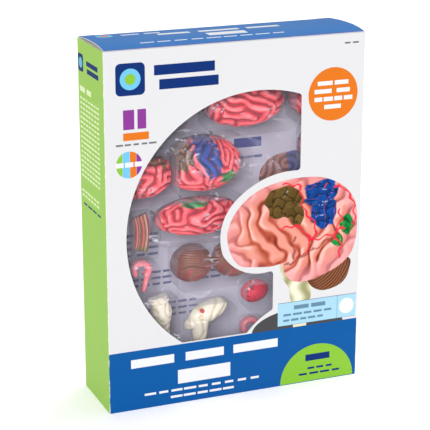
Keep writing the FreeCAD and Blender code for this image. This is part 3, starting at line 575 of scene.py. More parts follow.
def words_tree():
    """Rows of blocks with the rhythm of words: thin cubes of random width on a grid."""
    tree, given = geometry_tree(
        "Rows of words",
        (
            ("Length", "NodeSocketFloat", 0.05),
            ("Letter Height", "NodeSocketFloat", 0.002),
            ("Rows", "NodeSocketInt", 1),
            ("Row Pitch", "NodeSocketFloat", 0.004),
            ("Words", "NodeSocketInt", 5),
            ("Ink", "NodeSocketFloat", 0.00005),
            ("Seed", "NodeSocketInt", 1),
        ),
    )
    cell = calc(tree, "DIVIDE", given["Length"], given["Words"])
    gaps = calc(tree, "SUBTRACT", given["Rows"], 1.0)
    grid = add(
        tree,
        "GeometryNodeMeshGrid",
        {
            "Size X": calc(tree, "SUBTRACT", given["Length"], cell),
            "Size Y": calc(tree, "MULTIPLY", given["Row Pitch"], gaps),
            "Vertices X": given["Words"],
            "Vertices Y": given["Rows"],
        },
    )
    upright = add(
        tree,
        "GeometryNodeTransform",
        {"Geometry": grid.outputs["Mesh"], "Rotation": (math.pi / 2, 0, 0)},
    )
    share = {2: 0.62, 3: 0.94, "Seed": given["Seed"]}
    width = add(tree, "FunctionNodeRandomValue", share, data_type="FLOAT").outputs[1]
    size = {
        "X": calc(tree, "MULTIPLY", cell, width),
        "Y": given["Ink"],
        "Z": given["Letter Height"],
    }
    block = add(tree, "GeometryNodeMeshCube", {"Vertices Z": 4})
    blocks = add(
        tree,
        "GeometryNodeInstanceOnPoints",
        {
            "Points": upright.outputs[0],
            "Instance": block.outputs["Mesh"],
            "Scale": add(tree, "ShaderNodeCombineXYZ", size).outputs[0],
        },
    )
    end_tree(tree, blocks.outputs[0], given["Material"])
    return tree


def evaluated_mesh(thing):
    """The plain mesh that an object's modifiers make. The object itself goes."""
    graph = bpy.context.evaluated_depsgraph_get()
    mesh = bpy.data.meshes.new_from_object(thing.evaluated_get(graph))
    thing.modifiers.clear()
    bpy.data.objects.remove(thing)
    return mesh


def run_tree(name, tree, inputs):
    """The plain mesh that a Geometry Nodes tree makes with these inputs."""
    maker = add_object(name, bpy.data.meshes.new(name))
    modifier = maker.modifiers.new(name, "NODES")
    modifier.node_group = tree
    for socket in tree.interface.items_tree:
        if socket.in_out == "INPUT" and socket.name in inputs:
            modifier[socket.identifier] = inputs[socket.name]
    return evaluated_mesh(maker)


def slab(outline, ink):
    """Points and faces of a flat outline (x, z in millimetres), raised by the ink."""
    count = len(outline)
    points = [(x * MM, 0.5 * ink, z * MM) for x, z in outline]
    points += [(x * MM, -ink, z * MM) for x, z in outline]
    faces = [tuple(range(count))[::-1], tuple(range(count, 2 * count))]
    for index in range(count):
        after = (index + 1) % count
        faces.append((index, after, after + count, index + count))
    return points, faces


def bar(x0, x1, z0, z1):
    return [(x0, z0), (x1, z0), (x1, z1), (x0, z1)]


def disc(x, z, radius, steps=48):
    turns = [math.radians(360.0 * index / steps) for index in range(steps)]
    return [(x + radius * math.cos(turn), z + radius * math.sin(turn)) for turn in turns]


def disc_stripe(x, z, radius, left, right, steps=12):
    """The part of a disc between two upright lines, given from its centre."""
    across = np.linspace(right, left, steps)
    rise = np.sqrt(np.maximum(radius**2 - across**2, 0))
    upper = [(x + place, z + high) for place, high in zip(across, rise)]
    lower = [(x + place, z - high) for place, high in zip(across[::-1], rise[::-1])]
    return upper + lower


def rounded_bar(x0, x1, z0, z1, radius):
    outline = []
    for cx, cz, first in (
        (x1 - radius, z1 - radius, 0),
        (x0 + radius, z1 - radius, 90),
        (x0 + radius, z0 + radius, 180),
        (x1 - radius, z0 + radius, 270),
    ):
        for turn in np.radians(np.arange(first, first + 91, 15)):
            outline.append((cx + radius * math.cos(turn), cz + radius * math.sin(turn)))
    return outline


def print_piece(name, panel, ink, layer, outlines, paragraphs):
    """One piece of print in one ink: flat outlines and rows of words on a panel.

    A paragraph is (left, bottom, length, letter height, words, seed), and its number of
    rows and their pitch where it has more than one."""
    height = settings("carton").ink * layer
    material = ink_material(ink)
    work = bmesh.new()
    for outline in outlines:
        points, faces = slab(outline, height)
        made = [work.verts.new(point) for point in points]
        for face in faces:
            work.faces.new([made[index] for index in face])
    tree = bpy.data.node_groups.get("Rows of words") or words_tree()
    for left, bottom, length, letters, words, seed, *block in paragraphs:
        rows, pitch = block or (1, 0.0)
        inputs = {
            "Length": length * MM,
            "Letter Height": letters * MM,
            "Rows": rows,
            "Row Pitch": pitch * MM,
            "Words": words,
            "Ink": 2 * height,
            "Seed": seed,
            "Material": material,
        }
        mesh = run_tree(name, tree, inputs)
        middle = (left + length / 2, bottom + (letters + pitch * (rows - 1)) / 2)
        mesh.transform(Matrix.Translation((middle[0] * MM, 0, middle[1] * MM)))
        work.from_mesh(mesh)
        bpy.data.meshes.remove(mesh)
    bmesh.ops.remove_doubles(work, verts=work.verts, dist=1e-7)
    bmesh.ops.recalc_face_normals(work, faces=work.faces)
    work.transform(panel_place(panel))
    if panel == "top":
        for vert in work.verts:
            vert.co.z += (lid_rise(vert.co.y / MM) - LID_CROWN) * MM
    mesh = bpy.data.meshes.new(name)
    work.to_mesh(mesh)
    work.free()
    mesh.polygons.foreach_set("material_index", [0] * len(mesh.polygons))
    mesh.materials.append(material)
    body = "lid" if panel == "top" else "root"
    place_piece(name, mesh, body)


def print_all(panel, rows):
    """Prints the pieces of a table: name, ink, layer, outlines and paragraphs."""
    for name, *print_of in rows:
        print_piece(name, panel, *print_of)


# Winding folds


FOLDS_ACROSS = 22
FOLD_CELLS = 256
FOLD_STEPS = 60


def winding_folds(seed):
    """A field that repeats, near 1 on the crests and -1 in the grooves of winding folds.

    Waves of one length grow from faint noise until they hold each other back, and a
    leaning towards the crests makes those broad and the grooves narrow."""
    random = np.random.default_rng(seed)
    field = random.standard_normal((FOLD_CELLS, FOLD_CELLS)) * 0.1
    wave = np.fft.fftfreq(FOLD_CELLS) * FOLD_CELLS / FOLDS_ACROSS
    squared = wave[:, None] ** 2 + wave[None, :] ** 2
    growth = 0.9 - (1 - squared) ** 2
    leaning = 0.7
    step = 0.5
    for _ in range(FOLD_STEPS):
        spectrum = np.fft.fft2(field + step * (leaning * field**2 - field**3))
        field = np.real(np.fft.ifft2(spectrum / (1 - step * growth)))
    field -= np.median(field)
    return np.clip(field / np.percentile(np.abs(field), 92), -1, 1)


def sample_folds(field, across, up, spacing):
    """The field's values at places in millimetres, for folds that far apart."""
    tile = spacing * FOLDS_ACROSS
    column = (np.asarray(across) / tile % 1.0) * FOLD_CELLS
    row = (np.asarray(up) / tile % 1.0) * FOLD_CELLS
    left = np.floor(column).astype(int)
    low = np.floor(row).astype(int)
    part_x = column - left
    part_z = row - low
    right = (left + 1) % FOLD_CELLS
    high = (low + 1) % FOLD_CELLS
    left %= FOLD_CELLS
    low %= FOLD_CELLS
    lower = field[low, left] * (1 - part_x) + field[low, right] * part_x
    upper = field[high, left] * (1 - part_x) + field[high, right] * part_x
    return lower * (1 - part_z) + upper * part_z


def lumps(points, pitch, seed):
    """Rounded lumps about scattered middles: how far each flat point is from the nearest
    crease, from 0 to 1, and the way that it leans off its lump's middle."""
    random = np.random.default_rng(seed)
    low = points.min(axis=0) - pitch
    count = ((points.max(axis=0) + pitch - low) / pitch).astype(int) + 1
    grid = np.stack(np.meshgrid(np.arange(count[0]), np.arange(count[1])), axis=-1).reshape(-1, 2)
    middles = low + (grid + random.uniform(0.1, 0.9, grid.shape)) * pitch
    apart = np.hypot(*(points[:, None, :] - middles[None, :, :]).transpose(2, 0, 1))
    nearest = np.argsort(apart, axis=1)[:, :2]
    rows = np.arange(len(points))
    gap = apart[rows, nearest[:, 1]] - apart[rows, nearest[:, 0]]
    return np.clip(gap / pitch, 0, 1), (points - middles[nearest[:, 0]]) / pitch


def wander(points, scale, seed):
    """Smooth noise at each point, from -1 to 1."""
    shift = Vector((seed * 7.3, seed * 3.1, seed * 5.7))
    return np.array([noise.noise(Vector(point) * scale + shift) for point in points])


def spread(factor, first, second):
    """Blends two colours, or rows of colours, by a factor for each vertex."""
    weight = np.clip(factor, 0, 1)[:, None]
    return np.asarray(first) * (1 - weight) + np.asarray(second) * weight


def smooth_step(value, low, high):
    share = np.clip((value - low) / (high - low), 0, 1)
    return share * share * (3 - 2 * share)


# The picture on the front: a brain in side view on its stand

CEREBRUM_OUTLINE = (
    (-9, 141), (-6.5, 153), (0, 164), (10, 173.5), (23, 180.5), (40, 184.8), (58, 186.2),
    (76, 184.6), (91, 179), (102, 170.5), (109, 159), (111, 145), (110.5, 128), (106, 114),
    (96, 104.5), (84, 99), (72, 95), (60, 93.6), (50, 96), (44, 103), (40.5, 111.5), (30, 111),
    (15, 112.5), (3, 115), (-5, 125),
)
CEREBELLUM_OUTLINE = (
    (104, 110), (104.5, 98), (99, 88.5), (89, 84), (78, 83.5), (68.5, 89), (66, 98), (80, 112),
)
STEM_OUTLINE = (
    (40, 112), (42, 99), (47.5, 90), (51.5, 76), (67, 76), (69, 86), (72, 94), (72, 112),
    (56, 118),
)
BASE_CENTRE = (57.0, 52.0)
BASE_REACH = (43.0, 18.0)
FRONT_OLIVE = ((43.0, 166.0, 18.5, 14.5), (55.0, 154.0, 7.0, 10.0))
FRONT_BLUE = ((77.0, 171.0, 17.0, 12.0), (80.0, 154.0, 12.5, 15.0))
FRONT_GREEN = ((101.5, 140.0, 7.5, 9.0), (93.0, 127.0, 6.0, 6.0))
FRONT_VESSELS = (
    ((40, 143), (52, 145), (62, 138), (68, 129), (62, 119)),
    ((57, 178), (60, 160), (69, 147), (73, 138), (68, 129), (78, 131), (90, 134), (99, 138)),
    ((90, 176), (101, 171), (108, 158), (109, 138)),
    ((94, 153), (96, 144), (90, 132), (97, 121), (94, 110)),
    ((40, 182), (54, 180), (58, 174)),
)
GUIDE_BRAIN_OUTLINE = (
    (47, 170), (50, 180), (59, 188), (72, 191), (86, 191), (92, 182), (89, 169), (78, 161),
    (62, 158), (51, 161),
)
FRONT_FISSURES = (
    ((42, 110), (52, 113), (64, 118), (75, 124), (92, 131)),
    ((52, 134), (51, 124), (53, 116)),
)


def near_path(points, path):
    """Distance of each point to a bent line, all in millimetres."""
    best = np.full(len(points), 1e9)
    for start, end in zip(path, path[1:]):
        start = np.array(start, float)
        along = np.array(end, float) - start
        share = np.clip(((points - start) @ along) / (along @ along), 0, 1)
        best = np.minimum(best, np.hypot(*(points - start - share[:, None] * along).T))
    return best


def in_ovals(points, ovals):
    """Below 1 inside any of the ovals (x, z, half width, half height)."""
    best = np.full(len(points), 9.0)
    for x, z, wide, high in ovals:
        best = np.minimum(best, np.hypot((points[:, 0] - x) / wide, (points[:, 1] - z) / high))
    return best


def closed_curve(outline, steps=14):
    """A smooth closed curve through the outline's points."""
    corners = np.array(outline, float)
    curve = []
    for index in range(len(corners)):
        before, start, end, after = np.roll(corners, 1 - index, axis=0)[:4]
        for t in np.arange(steps) / steps:
            swing = (end - before) * t
            bend = (2 * before - 5 * start + 4 * end - after) * t * t
            twist = (3 * start - before - 3 * end + after) * t**3
            curve.append(0.5 * (2 * start + swing + bend + twist))
    return np.array(curve)


def picture_slab(name, panel, outline, centre, rings, layer, colour_of, material):
    """A slab of print with a fine mesh from its centre to its outline, coloured point by
    point as colour_of says for (x, z) in millimetres."""
    ink = settings("carton").ink * layer
    rim = closed_curve(outline)
    count = len(rim)
    centre = np.array(centre, float)
    flat = [centre]
    for ring in range(1, rings + 1):
        flat.extend(centre + (rim - centre) * (ring / rings))
    flat = np.array(flat)
    behind = len(flat)
    vertices = [(x * MM, -ink, z * MM) for x, z in flat]
    vertices += [(x * MM, 0.5 * ink, z * MM) for x, z in rim]
    faces = ring_faces(count, rings)
    faces.append(tuple(range(behind + count - 1, behind - 1, -1)))
    piece = new_piece(name, vertices, faces, material)
    piece.data.transform(panel_place(panel))
    face_outwards(piece)
    store_paint(piece, colour_of(np.vstack([flat, rim])))


def face_outwards(piece):
    work = bmesh.new()
    work.from_mesh(piece.data)
    bmesh.ops.recalc_face_normals(work, faces=work.faces)
    work.to_mesh(piece.data)
    work.free()


def picture_cerebrum(points):
    """Pink folds with salmon grooves, three painted areas and thin red vessels."""
    model = settings("model")
    x, z = points.T
    field = winding_folds(11)
    flat = np.column_stack([x, np.zeros(len(x)), z])
    bend = 9.0 * wander(flat, 0.04, 3) + 5.0 * wander(flat, 0.09, 8)
    lift = 9.0 * wander(flat, 0.04, 4) + 5.0 * wander(flat, 0.09, 9)
    folds = sample_folds(field, x + bend, z + lift, 12.0)
    shaded_side = sample_folds(field, x + bend - 1.2, z + lift + 1.2, 12.0)
    fine = sample_folds(field, 0.8 * z + 40 + bend, x - lift, 6.5)
    crest = np.clip(0.5 + 0.5 * folds + 0.1 * wander(flat, 0.1, 5), 0, 1)
    rim = smooth_step(np.hypot((x - 52) / 60, (z - 142) / 44), 0.72, 1.02)
    light = np.clip(0.55 + 1.1 * (folds - shaded_side), 0, 1)
    colour = spread(smooth_step(crest, 0.02, 0.42), srgb(168, 70, 48), srgb(214, 130, 112))
    colour = spread(light * smooth_step(crest, 0.2, 0.7), colour, srgb(228, 158, 144))
    colour = spread(smooth_step(light, 0.85, 1.0) * 0.5, colour, srgb(244, 196, 188))
    colour = spread(smooth_step(0.1 - crest, 0.0, 0.1), colour, srgb(122, 46, 36))
    colour = spread(rim * 0.5, colour, srgb(216, 140, 150))
    for ovals, paint, pitch in (
        (FRONT_OLIVE, model.olive, 10.5),
        (FRONT_BLUE, model.blue, 8.5),
        (FRONT_GREEN, model.green, 7.5),
    ):
        near = in_ovals(points, ovals) + 0.1 * folds
        area = np.flatnonzero(near < 1.0)
        bent = points[area] + 1.6 * np.column_stack([fine[area], folds[area]])
        crease, lean = lumps(bent, pitch, 71)
        towards_light = 0.5 + 0.7 * (0.6 * lean[:, 1] - 0.5 * lean[:, 0])
        shaded = spread(towards_light, np.asarray(paint) * 0.4, np.asarray(paint) * 1.3)
        shaded = spread(1 - smooth_step(crease, 0.0, 0.2), shaded, np.asarray(paint) * 0.2)
        glint = np.hypot(lean[:, 0] + 0.14 + 0.2 * fine[area], 1.6 * (lean[:, 1] - 0.16))
        shiny = (1 - smooth_step(glint, 0.02, 0.16)) * smooth_step(folds[area], 0.0, 0.7)
        shaded = spread(shiny * 0.6, shaded, (0.7, 0.78, 0.86))
        inside = 1 - smooth_step(near[area], 0.93, 0.98)
        colour[area] = spread(inside, colour[area], shaded)
    bent = points + 1.3 * np.column_stack([np.sin(z * 0.55), np.cos(x * 0.5)])
    for path in FRONT_FISSURES:
        near = 1 - smooth_step(near_path(bent, path) + 0.5 * fine, 0.3, 2.0)
        colour = spread(near * 0.8, colour, srgb(140, 56, 46))
    for path in FRONT_VESSELS:
        near = 1 - smooth_step(near_path(bent, path), 0.55, 1.0)
        colour = spread(near, colour, srgb(220, 38, 62))
    stray = np.abs(sample_folds(winding_folds(23), x, z, 17.0) + 0.1 * fine)
    veins = (1 - smooth_step(stray, 0.02, 0.07)) * smooth_step(x + 0.5 * z, 140, 165)
    return spread(veins * 0.8, colour, srgb(224, 70, 84))


def picture_cerebellum(points):
    """Brown, with fine curved lines."""
    x, z = points.T
    reach = np.hypot(x - 66, z - 116)
    line = 0.5 + 0.5 * np.sin(reach * 2.6 + 0.6 * np.sin(x * 0.4))
    colour = spread(line, srgb(72, 38, 24), srgb(146, 92, 60))
    return spread(smooth_step(np.hypot(x - 88, z - 97), 14, 22) * 0.5, colour, srgb(70, 36, 24))


def picture_stem(points):
    """Ivory with soft olive shade and a lighter ridge down its middle."""
    x, z = points.T
    across = np.sin((x - 50) * 0.33 + 0.8 * np.sin(z * 0.3))
    colour = spread(0.5 + 0.5 * across, srgb(152, 148, 104), srgb(232, 230, 204))
    return spread(smooth_step(z, 98, 110) * 0.6, colour, srgb(214, 210, 178))


def picture_guide(points):
    """Brown folds, and a violet area at the upper right."""
    x, z = points.T
    folds = sample_folds(winding_folds(61), x, z, 6.0)
    colour = spread(0.5 + 0.5 * folds, srgb(96, 46, 38), srgb(186, 118, 96))
    violet = spread(0.5 + 0.5 * folds, srgb(30, 32, 84), srgb(84, 88, 160))
    upper_right = smooth_step(x + 0.2 * (z - 180), 74, 75.5) * smooth_step(z, 168, 170)
    return spread(upper_right, colour, violet)


def half_oval(x, z, wide, high, floor):
    """The part of an oval above a level line."""
    outline = []
    for step in range(37):
        turn = math.radians(5 * step)
        outline.append((x + wide * math.cos(turn), max(z + high * math.sin(turn), floor)))
    return outline


# Pieces of the model


def dome_mesh(half_long, half_high, thickness, rounds, rings, low=-math.inf, high=math.inf):
    """Points of a lobe: a dome over an oval skirt, trimmed at both ends, with its flat
    face at y = 0.

    Gives the points, the arc places that folds are read at, and the faces."""
    skirt = thickness - half_high
    points = [(0.0, -thickness, 0.0)]
    spots = [(0.0, 0.0)]
    for ring in range(1, rings + 1):
        lean = math.pi / 2 * ring / rings
        out = math.sin(lean)
        y = -skirt - half_high * math.cos(lean)
        for k in range(rounds):
            turn = 2 * math.pi * k / rounds
            across, up = half_long * math.cos(turn), half_high * math.sin(turn)
            points.append((out * across, y, out * up))
            spots.append((lean * across, lean * up))
    rim = len(points)
    for index in range(rim - rounds, rim):
        x, _, z = points[index]
        points.append((x, 0.0, z))
        spots.append(spots[index])
    centre = len(points)
    points.append((0.0, 0.0, 0.0))
    spots.append((0.0, 0.0))
    faces = ring_faces(rounds, rings)
    faces += [(rim + k, centre, rim + (k + 1) % rounds) for k in range(rounds)]
    points = np.array(points)
    points[:, 0] = np.clip(points[:, 0], low, high)
    return points, np.array(spots), faces


# Each lobe: half length, half height, thickness, trims (low, high), upright, fold spacing
# share, stretch of the folds along and up, turn of the folds in degrees, seed
LOBES = {
    "left_parietal_lobe": (35.0, 23.6, 28.0, (-27.0, None), False, 1.0, (1.0, 1.0), 55, 3),
    "right_parietal_lobe": (27.0, 19.5, 25.0, (None, 22.5), False, 1.15, (1.0, 1.0), 20, 5),
    "left_frontal_lobe": (36.7, 21.5, 25.0, (None, None), False, 1.3, (1.0, 1.0), 100, 7),
    "right_frontal_lobe": (24.0, 20.5, 25.0, (None, None), False, 1.1, (1.0, 1.0), 10, 9),
    "left_temporal_lobe": (39.0, 16.3, 20.0, (None, None), False, 1.05, (0.7, 1.2), 4, 13),
    "right_temporal_lobe": (33.0, 16.3, 20.0, (None, None), True, 1.1, (0.6, 1.1), 90, 15),
    "left_occipital_lobe": (31.0, 19.0, 24.0, (None, 26.0), False, 1.0, (1.0, 1.0), 30, 17),
    "right_occipital_lobe": (20.0, 19.0, 24.0, (None, 17.0), False, 1.0, (1.0, 1.0), 70, 19),
}
# Painted areas as ovals: middle x and z, half width and half height
LOBE_PAINT = {
    "left_parietal_lobe": {
        "olive": ((-45, 213, 12, 15.5),),
        "blue": ((-22, 213, 11, 15.5), (-18.5, 201, 9, 11)),
        "green": ((-2, 190, 8, 6.5),),
    },
    "right_parietal_lobe": {"olive": ((-66, 213, 6, 7), (-58.5, 208, 3, 7))},
    "left_temporal_lobe": {"green": ((-31, 167.5, 12, 2.6),)},
}
HIDDEN_LOBES = (
    "right_frontal_lobe",
    "right_temporal_lobe",
    "left_occipital_lobe",
    "right_occipital_lobe",
)
TIP_SHARE = 0.995
# Points round a dome and rings down it
SEEN_MESH = (264, 92)
HIDDEN_MESH = (132, 44)
LEAF_MESH = (260, 110)
LEAF_PITCH = 1.5


def carve(points, depth, body):
    """Draws points towards the middle of their piece by a depth for each, in millimetres."""
    inward = body - points
    reach = np.maximum(np.linalg.norm(inward, axis=1), 1e-6)
    return points + inward / reach[:, None] * depth[:, None]


def replace_form(name, ending, points, faces, colour, material):
    """Puts a carved form, from its points in millimetres, in its CAD node's stead."""
    vertices = [tuple(point) for point in points * MM]
    piece = new_piece(name + ending, vertices, faces, material, smooth=True)
    store_paint(piece, colour)
    face_outwards(piece)
    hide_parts(name)


def make_lobe(name, material):
    """A lobe with winding folds, in the place and form of its CAD node."""
    model = settings("model")
    half_long, half_high, thickness, trims, upright, share, stretch, turned, seed = LOBES[name]
    low = -half_long * TIP_SHARE if trims[0] is None else trims[0]
    high = half_long * TIP_SHARE if trims[1] is None else trims[1]
    mesh_size = HIDDEN_MESH if name in HIDDEN_LOBES else SEEN_MESH
    points, spots, faces = dome_mesh(half_long, half_high, thickness, *mesh_size, low, high)
    turn = math.radians(turned)
    across = (spots[:, 0] * math.cos(turn) + spots[:, 1] * math.sin(turn)) * stretch[0]
    up = (spots[:, 1] * math.cos(turn) - spots[:, 0] * math.sin(turn)) * stretch[1]
    swirl = wander(points, 0.06, seed)
    spacing = model.fold_spacing / MM * share
    folds = sample_folds(winding_folds(seed), across + 6 * swirl, up - 5 * swirl, spacing)
    crest = np.clip(0.5 + 0.5 * folds + 0.16 * wander(points, 0.13, seed + 6), 0, 1)
    crown = smooth_step(-points[:, 1], 0.6, 4.0)
    flat_end = (points[:, 0] <= low + 1e-6) | (points[:, 0] >= high - 1e-6)
    crown[flat_end] = 0.0
    depth = model.fold_depth / MM * (1 - crest) ** 1.6 * crown
    points = carve(points, depth, np.array((0.0, -0.25 * thickness, 0.0)) + points * (0.55, 0, 0))
    if upright:
        points = points @ np.array(Matrix.Rotation(math.radians(90), 3, "Y")).T
    node_low, node_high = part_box(name)
    middle = (points.min(axis=0) + points.max(axis=0)) / 2
    placed = points + (
        (node_low.x + node_high.x) / 2 / MM - middle[0],
        node_low.y / MM + thickness,
        (node_low.z + node_high.z) / 2 / MM - middle[2],
    )
    # Painted shade and light over the lobes' red paint: dark red in the grooves, pink on the
    # crests, the pink varying in random places
    flank = spread(smooth_step(crest, 0.08, 0.45), model.groove, model.flank)
    tone = 0.5 + 0.9 * wander(placed, 0.11, seed + 1)
    colour = spread(smooth_step(crest, 0.4, 0.95) * (0.35 + 0.65 * tone), flank, model.crest)
    edge = 0.16 * folds + 0.1 * wander(placed, 0.16, seed + 2)
    for area, ovals in LOBE_PAINT.get(name, {}).items():
        paint = np.array(getattr(model, area))
        # Painted shade and light: each area's paint is darker in the grooves and lighter on the
        # crests
        shaded = spread(smooth_step(crest, 0.02, 0.5), paint * 0.35, paint * 1.2)
        inside = 1 - smooth_step(in_ovals(placed[:, (0, 2)], ovals) + edge, 0.94, 1.0)
        colour = spread(inside, colour, shaded)
    vessel = np.abs(sample_folds(winding_folds(seed + 20), *spots.T, 2.6 * spacing))
    in_vessel = (1 - smooth_step(vessel, 0.03, 0.1)) * 0.75 * crown
    colour = spread(in_vessel, colour, srgb(196, 20, 44))
    replace_form(name, "_folds", placed, faces, colour, material)


def make_cerebellum(name, side, material):
    """A half cerebellum with fine leaves that curve about its lower inner corner."""
    low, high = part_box(name)
    half_wide = (high.x - low.x) / 2 / MM
    half_high = (high.z - low.z) / 2 / MM
    points, spots, faces = dome_mesh(half_wide, half_high, half_wide, *LEAF_MESH)
    reach = np.hypot(points[:, 0] + side * 0.25 * half_wide, points[:, 2] + 1.05 * half_high)
    wobble = wander(points, 0.12, 31 + side)
    leaf = 0.5 + 0.5 * np.sin(2 * math.pi * (reach + 0.9 * wobble) / LEAF_PITCH)
    split = smooth_step(np.abs(reach - 1.15 * half_high + 1.5 * wobble), 0.0, 0.9)
    crown = smooth_step(-points[:, 1], 0.4, 3.0)
    leaf_depth = 0.35 * (1 - leaf) ** 1.5
    split_depth = 0.9 * (1 - split)
    points = carve(points, (leaf_depth + split_depth) * crown, np.zeros(3))
    placed = points + (
        (low.x + high.x) / 2 / MM,
        low.y / MM + half_wide,
        (low.z + high.z) / 2 / MM,
    )
    brown = np.array(settings("model").brown)
    # Painted shade in the leaves' grooves and along the split, painted light on the leaves: darker
    # and lighter copies of the brown
    colour = spread(smooth_step(leaf * split, 0.0, 0.7), brown * 0.66, brown * 1.15)
    # Painted sheen: pale tan on the leaves in soft random patches
    sheen = 0.5 + 0.5 * wander(placed, 0.07, 40 + side)
    colour = spread(sheen * 0.35 * leaf, colour, srgb(206, 146, 116))
    veins = winding_folds(41 + side)
    vessel = np.abs(sample_folds(veins, spots[:, 0] + 3 * wobble, spots[:, 1], 17.0))
    lower = smooth_step(-points[:, 2], -0.1 * half_high, 0.2 * half_high)
    in_vessel = (1 - smooth_step(vessel, 0.2, 0.5)) * lower * 0.9
    colour = spread(in_vessel, colour, srgb(160, 18, 30))
    replace_form(name, "_leaves", placed, faces, colour, material)


def remeshed_copy(name, cell):
    """An even, closed mesh over a CAD node."""
    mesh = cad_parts[name].data.copy()
    work = bmesh.new()
    work.from_mesh(mesh)
    bmesh.ops.remove_doubles(work, verts=work.verts, dist=1e-6)
    work.to_mesh(mesh)
    work.free()
    copy = add_object(name + "_form", mesh)
    even = copy.modifiers.new("Even mesh", "REMESH")
    even.mode = "VOXEL"
    even.voxel_size = cell * MM
    return evaluated_mesh(copy)


def vertex_rows(mesh, field):
    """The places or the normals of a mesh's vertices, one row for each."""
    values = np.empty(len(mesh.vertices) * 3)
    mesh.vertices.foreach_get(field, values)
    return values.reshape(-1, 3)


SOFT_CELL = 0.45
SOFT_INSET = 0.04


def make_soft_form(name, material, colour_of, depth, spacing, seed):
    """A small piece over its CAD node's own form, with shallow folds and its paint."""
    mesh = remeshed_copy(name, SOFT_CELL)
    points = vertex_rows(mesh, "co") / MM
    flat_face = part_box(name)[1].y / MM
    crown = smooth_step(flat_face - points[:, 1], 0.5, 2.0)
    field = winding_folds(seed)
    folds = sample_folds(field, points[:, 0] + 0.4 * points[:, 1], points[:, 2], spacing)
    crest = 0.5 + 0.5 * folds
    inward = depth * (1 - crest) ** 1.6 * crown + SOFT_INSET
    sunk = points - vertex_rows(mesh, "normal") * inward[:, None]
    mesh.vertices.foreach_set("co", (sunk * MM).ravel())
    mesh.materials.clear()
    mesh.materials.append(material)
    mesh.polygons.foreach_set("use_smooth", [True] * len(mesh.polygons))
    mesh.update()
    piece = place_piece(name + "_form", mesh)
    store_paint(piece, colour_of(points, crest))
    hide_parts(name)


def stem_colours(points, crest):
    """Ivory, darker and browner in the grooves as painted shade, and a red spot."""
    ivory = np.array(settings("model").ivory)
    colour = spread(smooth_step(crest, 0.0, 0.3), ivory * (0.78, 0.7, 0.58), ivory)
    spot = np.hypot(points[:, 0] + 24.2, points[:, 2] - 72.5)
    return spread(1 - smooth_step(spot, 1.6, 2.3), colour, srgb(196, 40, 52))


def fibres_tree():
    """Strands side by side: arcs about one centre, each with a round section."""
    tree, given = geometry_tree(
        "Curved strands",
        (
            ("Strands", "NodeSocketInt", 9),
            ("Bend", "NodeSocketFloat", 0.05),
            ("Spread", "NodeSocketFloat", 0.012),
            ("Sweep", "NodeSocketFloat", 0.6),
            ("Strand Radius", "NodeSocketFloat", 0.0008),
        ),
    )
    index = add(tree, "GeometryNodeInputIndex").outputs[0]
    last = calc(tree, "MAXIMUM", calc(tree, "SUBTRACT", given["Strands"], 1.0), 1.0)
    share = calc(tree, "SUBTRACT", calc(tree, "DIVIDE", index, last), 0.5)
    radius = calc(tree, "MULTIPLY_ADD", share, given["Spread"], given["Bend"])
    points = add(tree, "GeometryNodePoints", {"Count": given["Strands"]})
    sweep = {
        "Resolution": 22,
        "Radius": 1.0,
        "Start Angle": calc(tree, "MULTIPLY", given["Sweep"], -0.5),
        "Sweep Angle": given["Sweep"],
    }
    arc = add(tree, "GeometryNodeCurveArc", sweep, mode="RADIUS")
    upright = add(
        tree,
        "GeometryNodeTransform",
        {"Geometry": arc.outputs["Curve"], "Rotation": (math.pi / 2, 0, 0)},
    )
    kept = add(
        tree,
        "GeometryNodeStoreNamedAttribute",
        {"Geometry": points.outputs[0], "Name": "strand", "Value": share},
        data_type="FLOAT",
        domain="POINT",
    )
    scale = add(tree, "ShaderNodeCombineXYZ", {"X": radius, "Y": radius, "Z": radius})
    arcs = add(
        tree,
        "GeometryNodeInstanceOnPoints",
        {"Points": kept.outputs[0], "Instance": upright.outputs[0], "Scale": scale.outputs[0]},
    )
    curves = add(tree, "GeometryNodeRealizeInstances", {"Geometry": arcs.outputs[0]})
    ring = {"Resolution": 8, "Radius": given["Strand Radius"]}
    section = add(tree, "GeometryNodeCurvePrimitiveCircle", ring).outputs["Curve"]
    tubes = add(
        tree,
        "GeometryNodeCurveToMesh",
        {"Curve": curves.outputs[0], "Profile Curve": section, "Fill Caps": True},
    )
    end_tree(tree, tubes.outputs[0], given["Material"])
    return tree


# The fibre fans' bend, the pitch and radius of their CAD strands, and the fine strands: how
# far they spread, their radius, how deep they lie and how much of the fan they reach
FAN_BEND = 50.0
FAN_PITCH = 2.72
FAN_RADIUS = 1.6
STRAND_SPREAD = 12.6
STRAND_RADIUS = 0.72
STRAND_DEPTH = 0.75
STRAND_REACH = 0.97


def make_strands(name, material):
    """Fine strands laid over a fibre fan's front, about the centre that it bends round."""
    low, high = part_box(name)
    outer_bend = FAN_BEND + 2 * FAN_PITCH + FAN_RADIUS
    half_high = (high.z - low.z) / 2 / MM
    inputs = {
        "Strands": 10,
        "Bend": FAN_BEND * MM,
        "Spread": STRAND_SPREAD * MM,
        "Sweep": 2 * math.asin(half_high / outer_bend * STRAND_REACH),
        "Strand Radius": STRAND_RADIUS * MM,
        "Material": material,
    }
    tree = bpy.data.node_groups.get("Curved strands") or fibres_tree()
    mesh = run_tree(name, tree, inputs)
    centre_x = high.x - outer_bend * MM
    front = low.y + STRAND_DEPTH * MM
    mesh.transform(Matrix.Translation((centre_x, front, (low.z + high.z) / 2)))
    mesh.polygons.foreach_set("use_smooth", [True] * len(mesh.polygons))
    face_outwards(place_piece(name + "_strands", mesh))


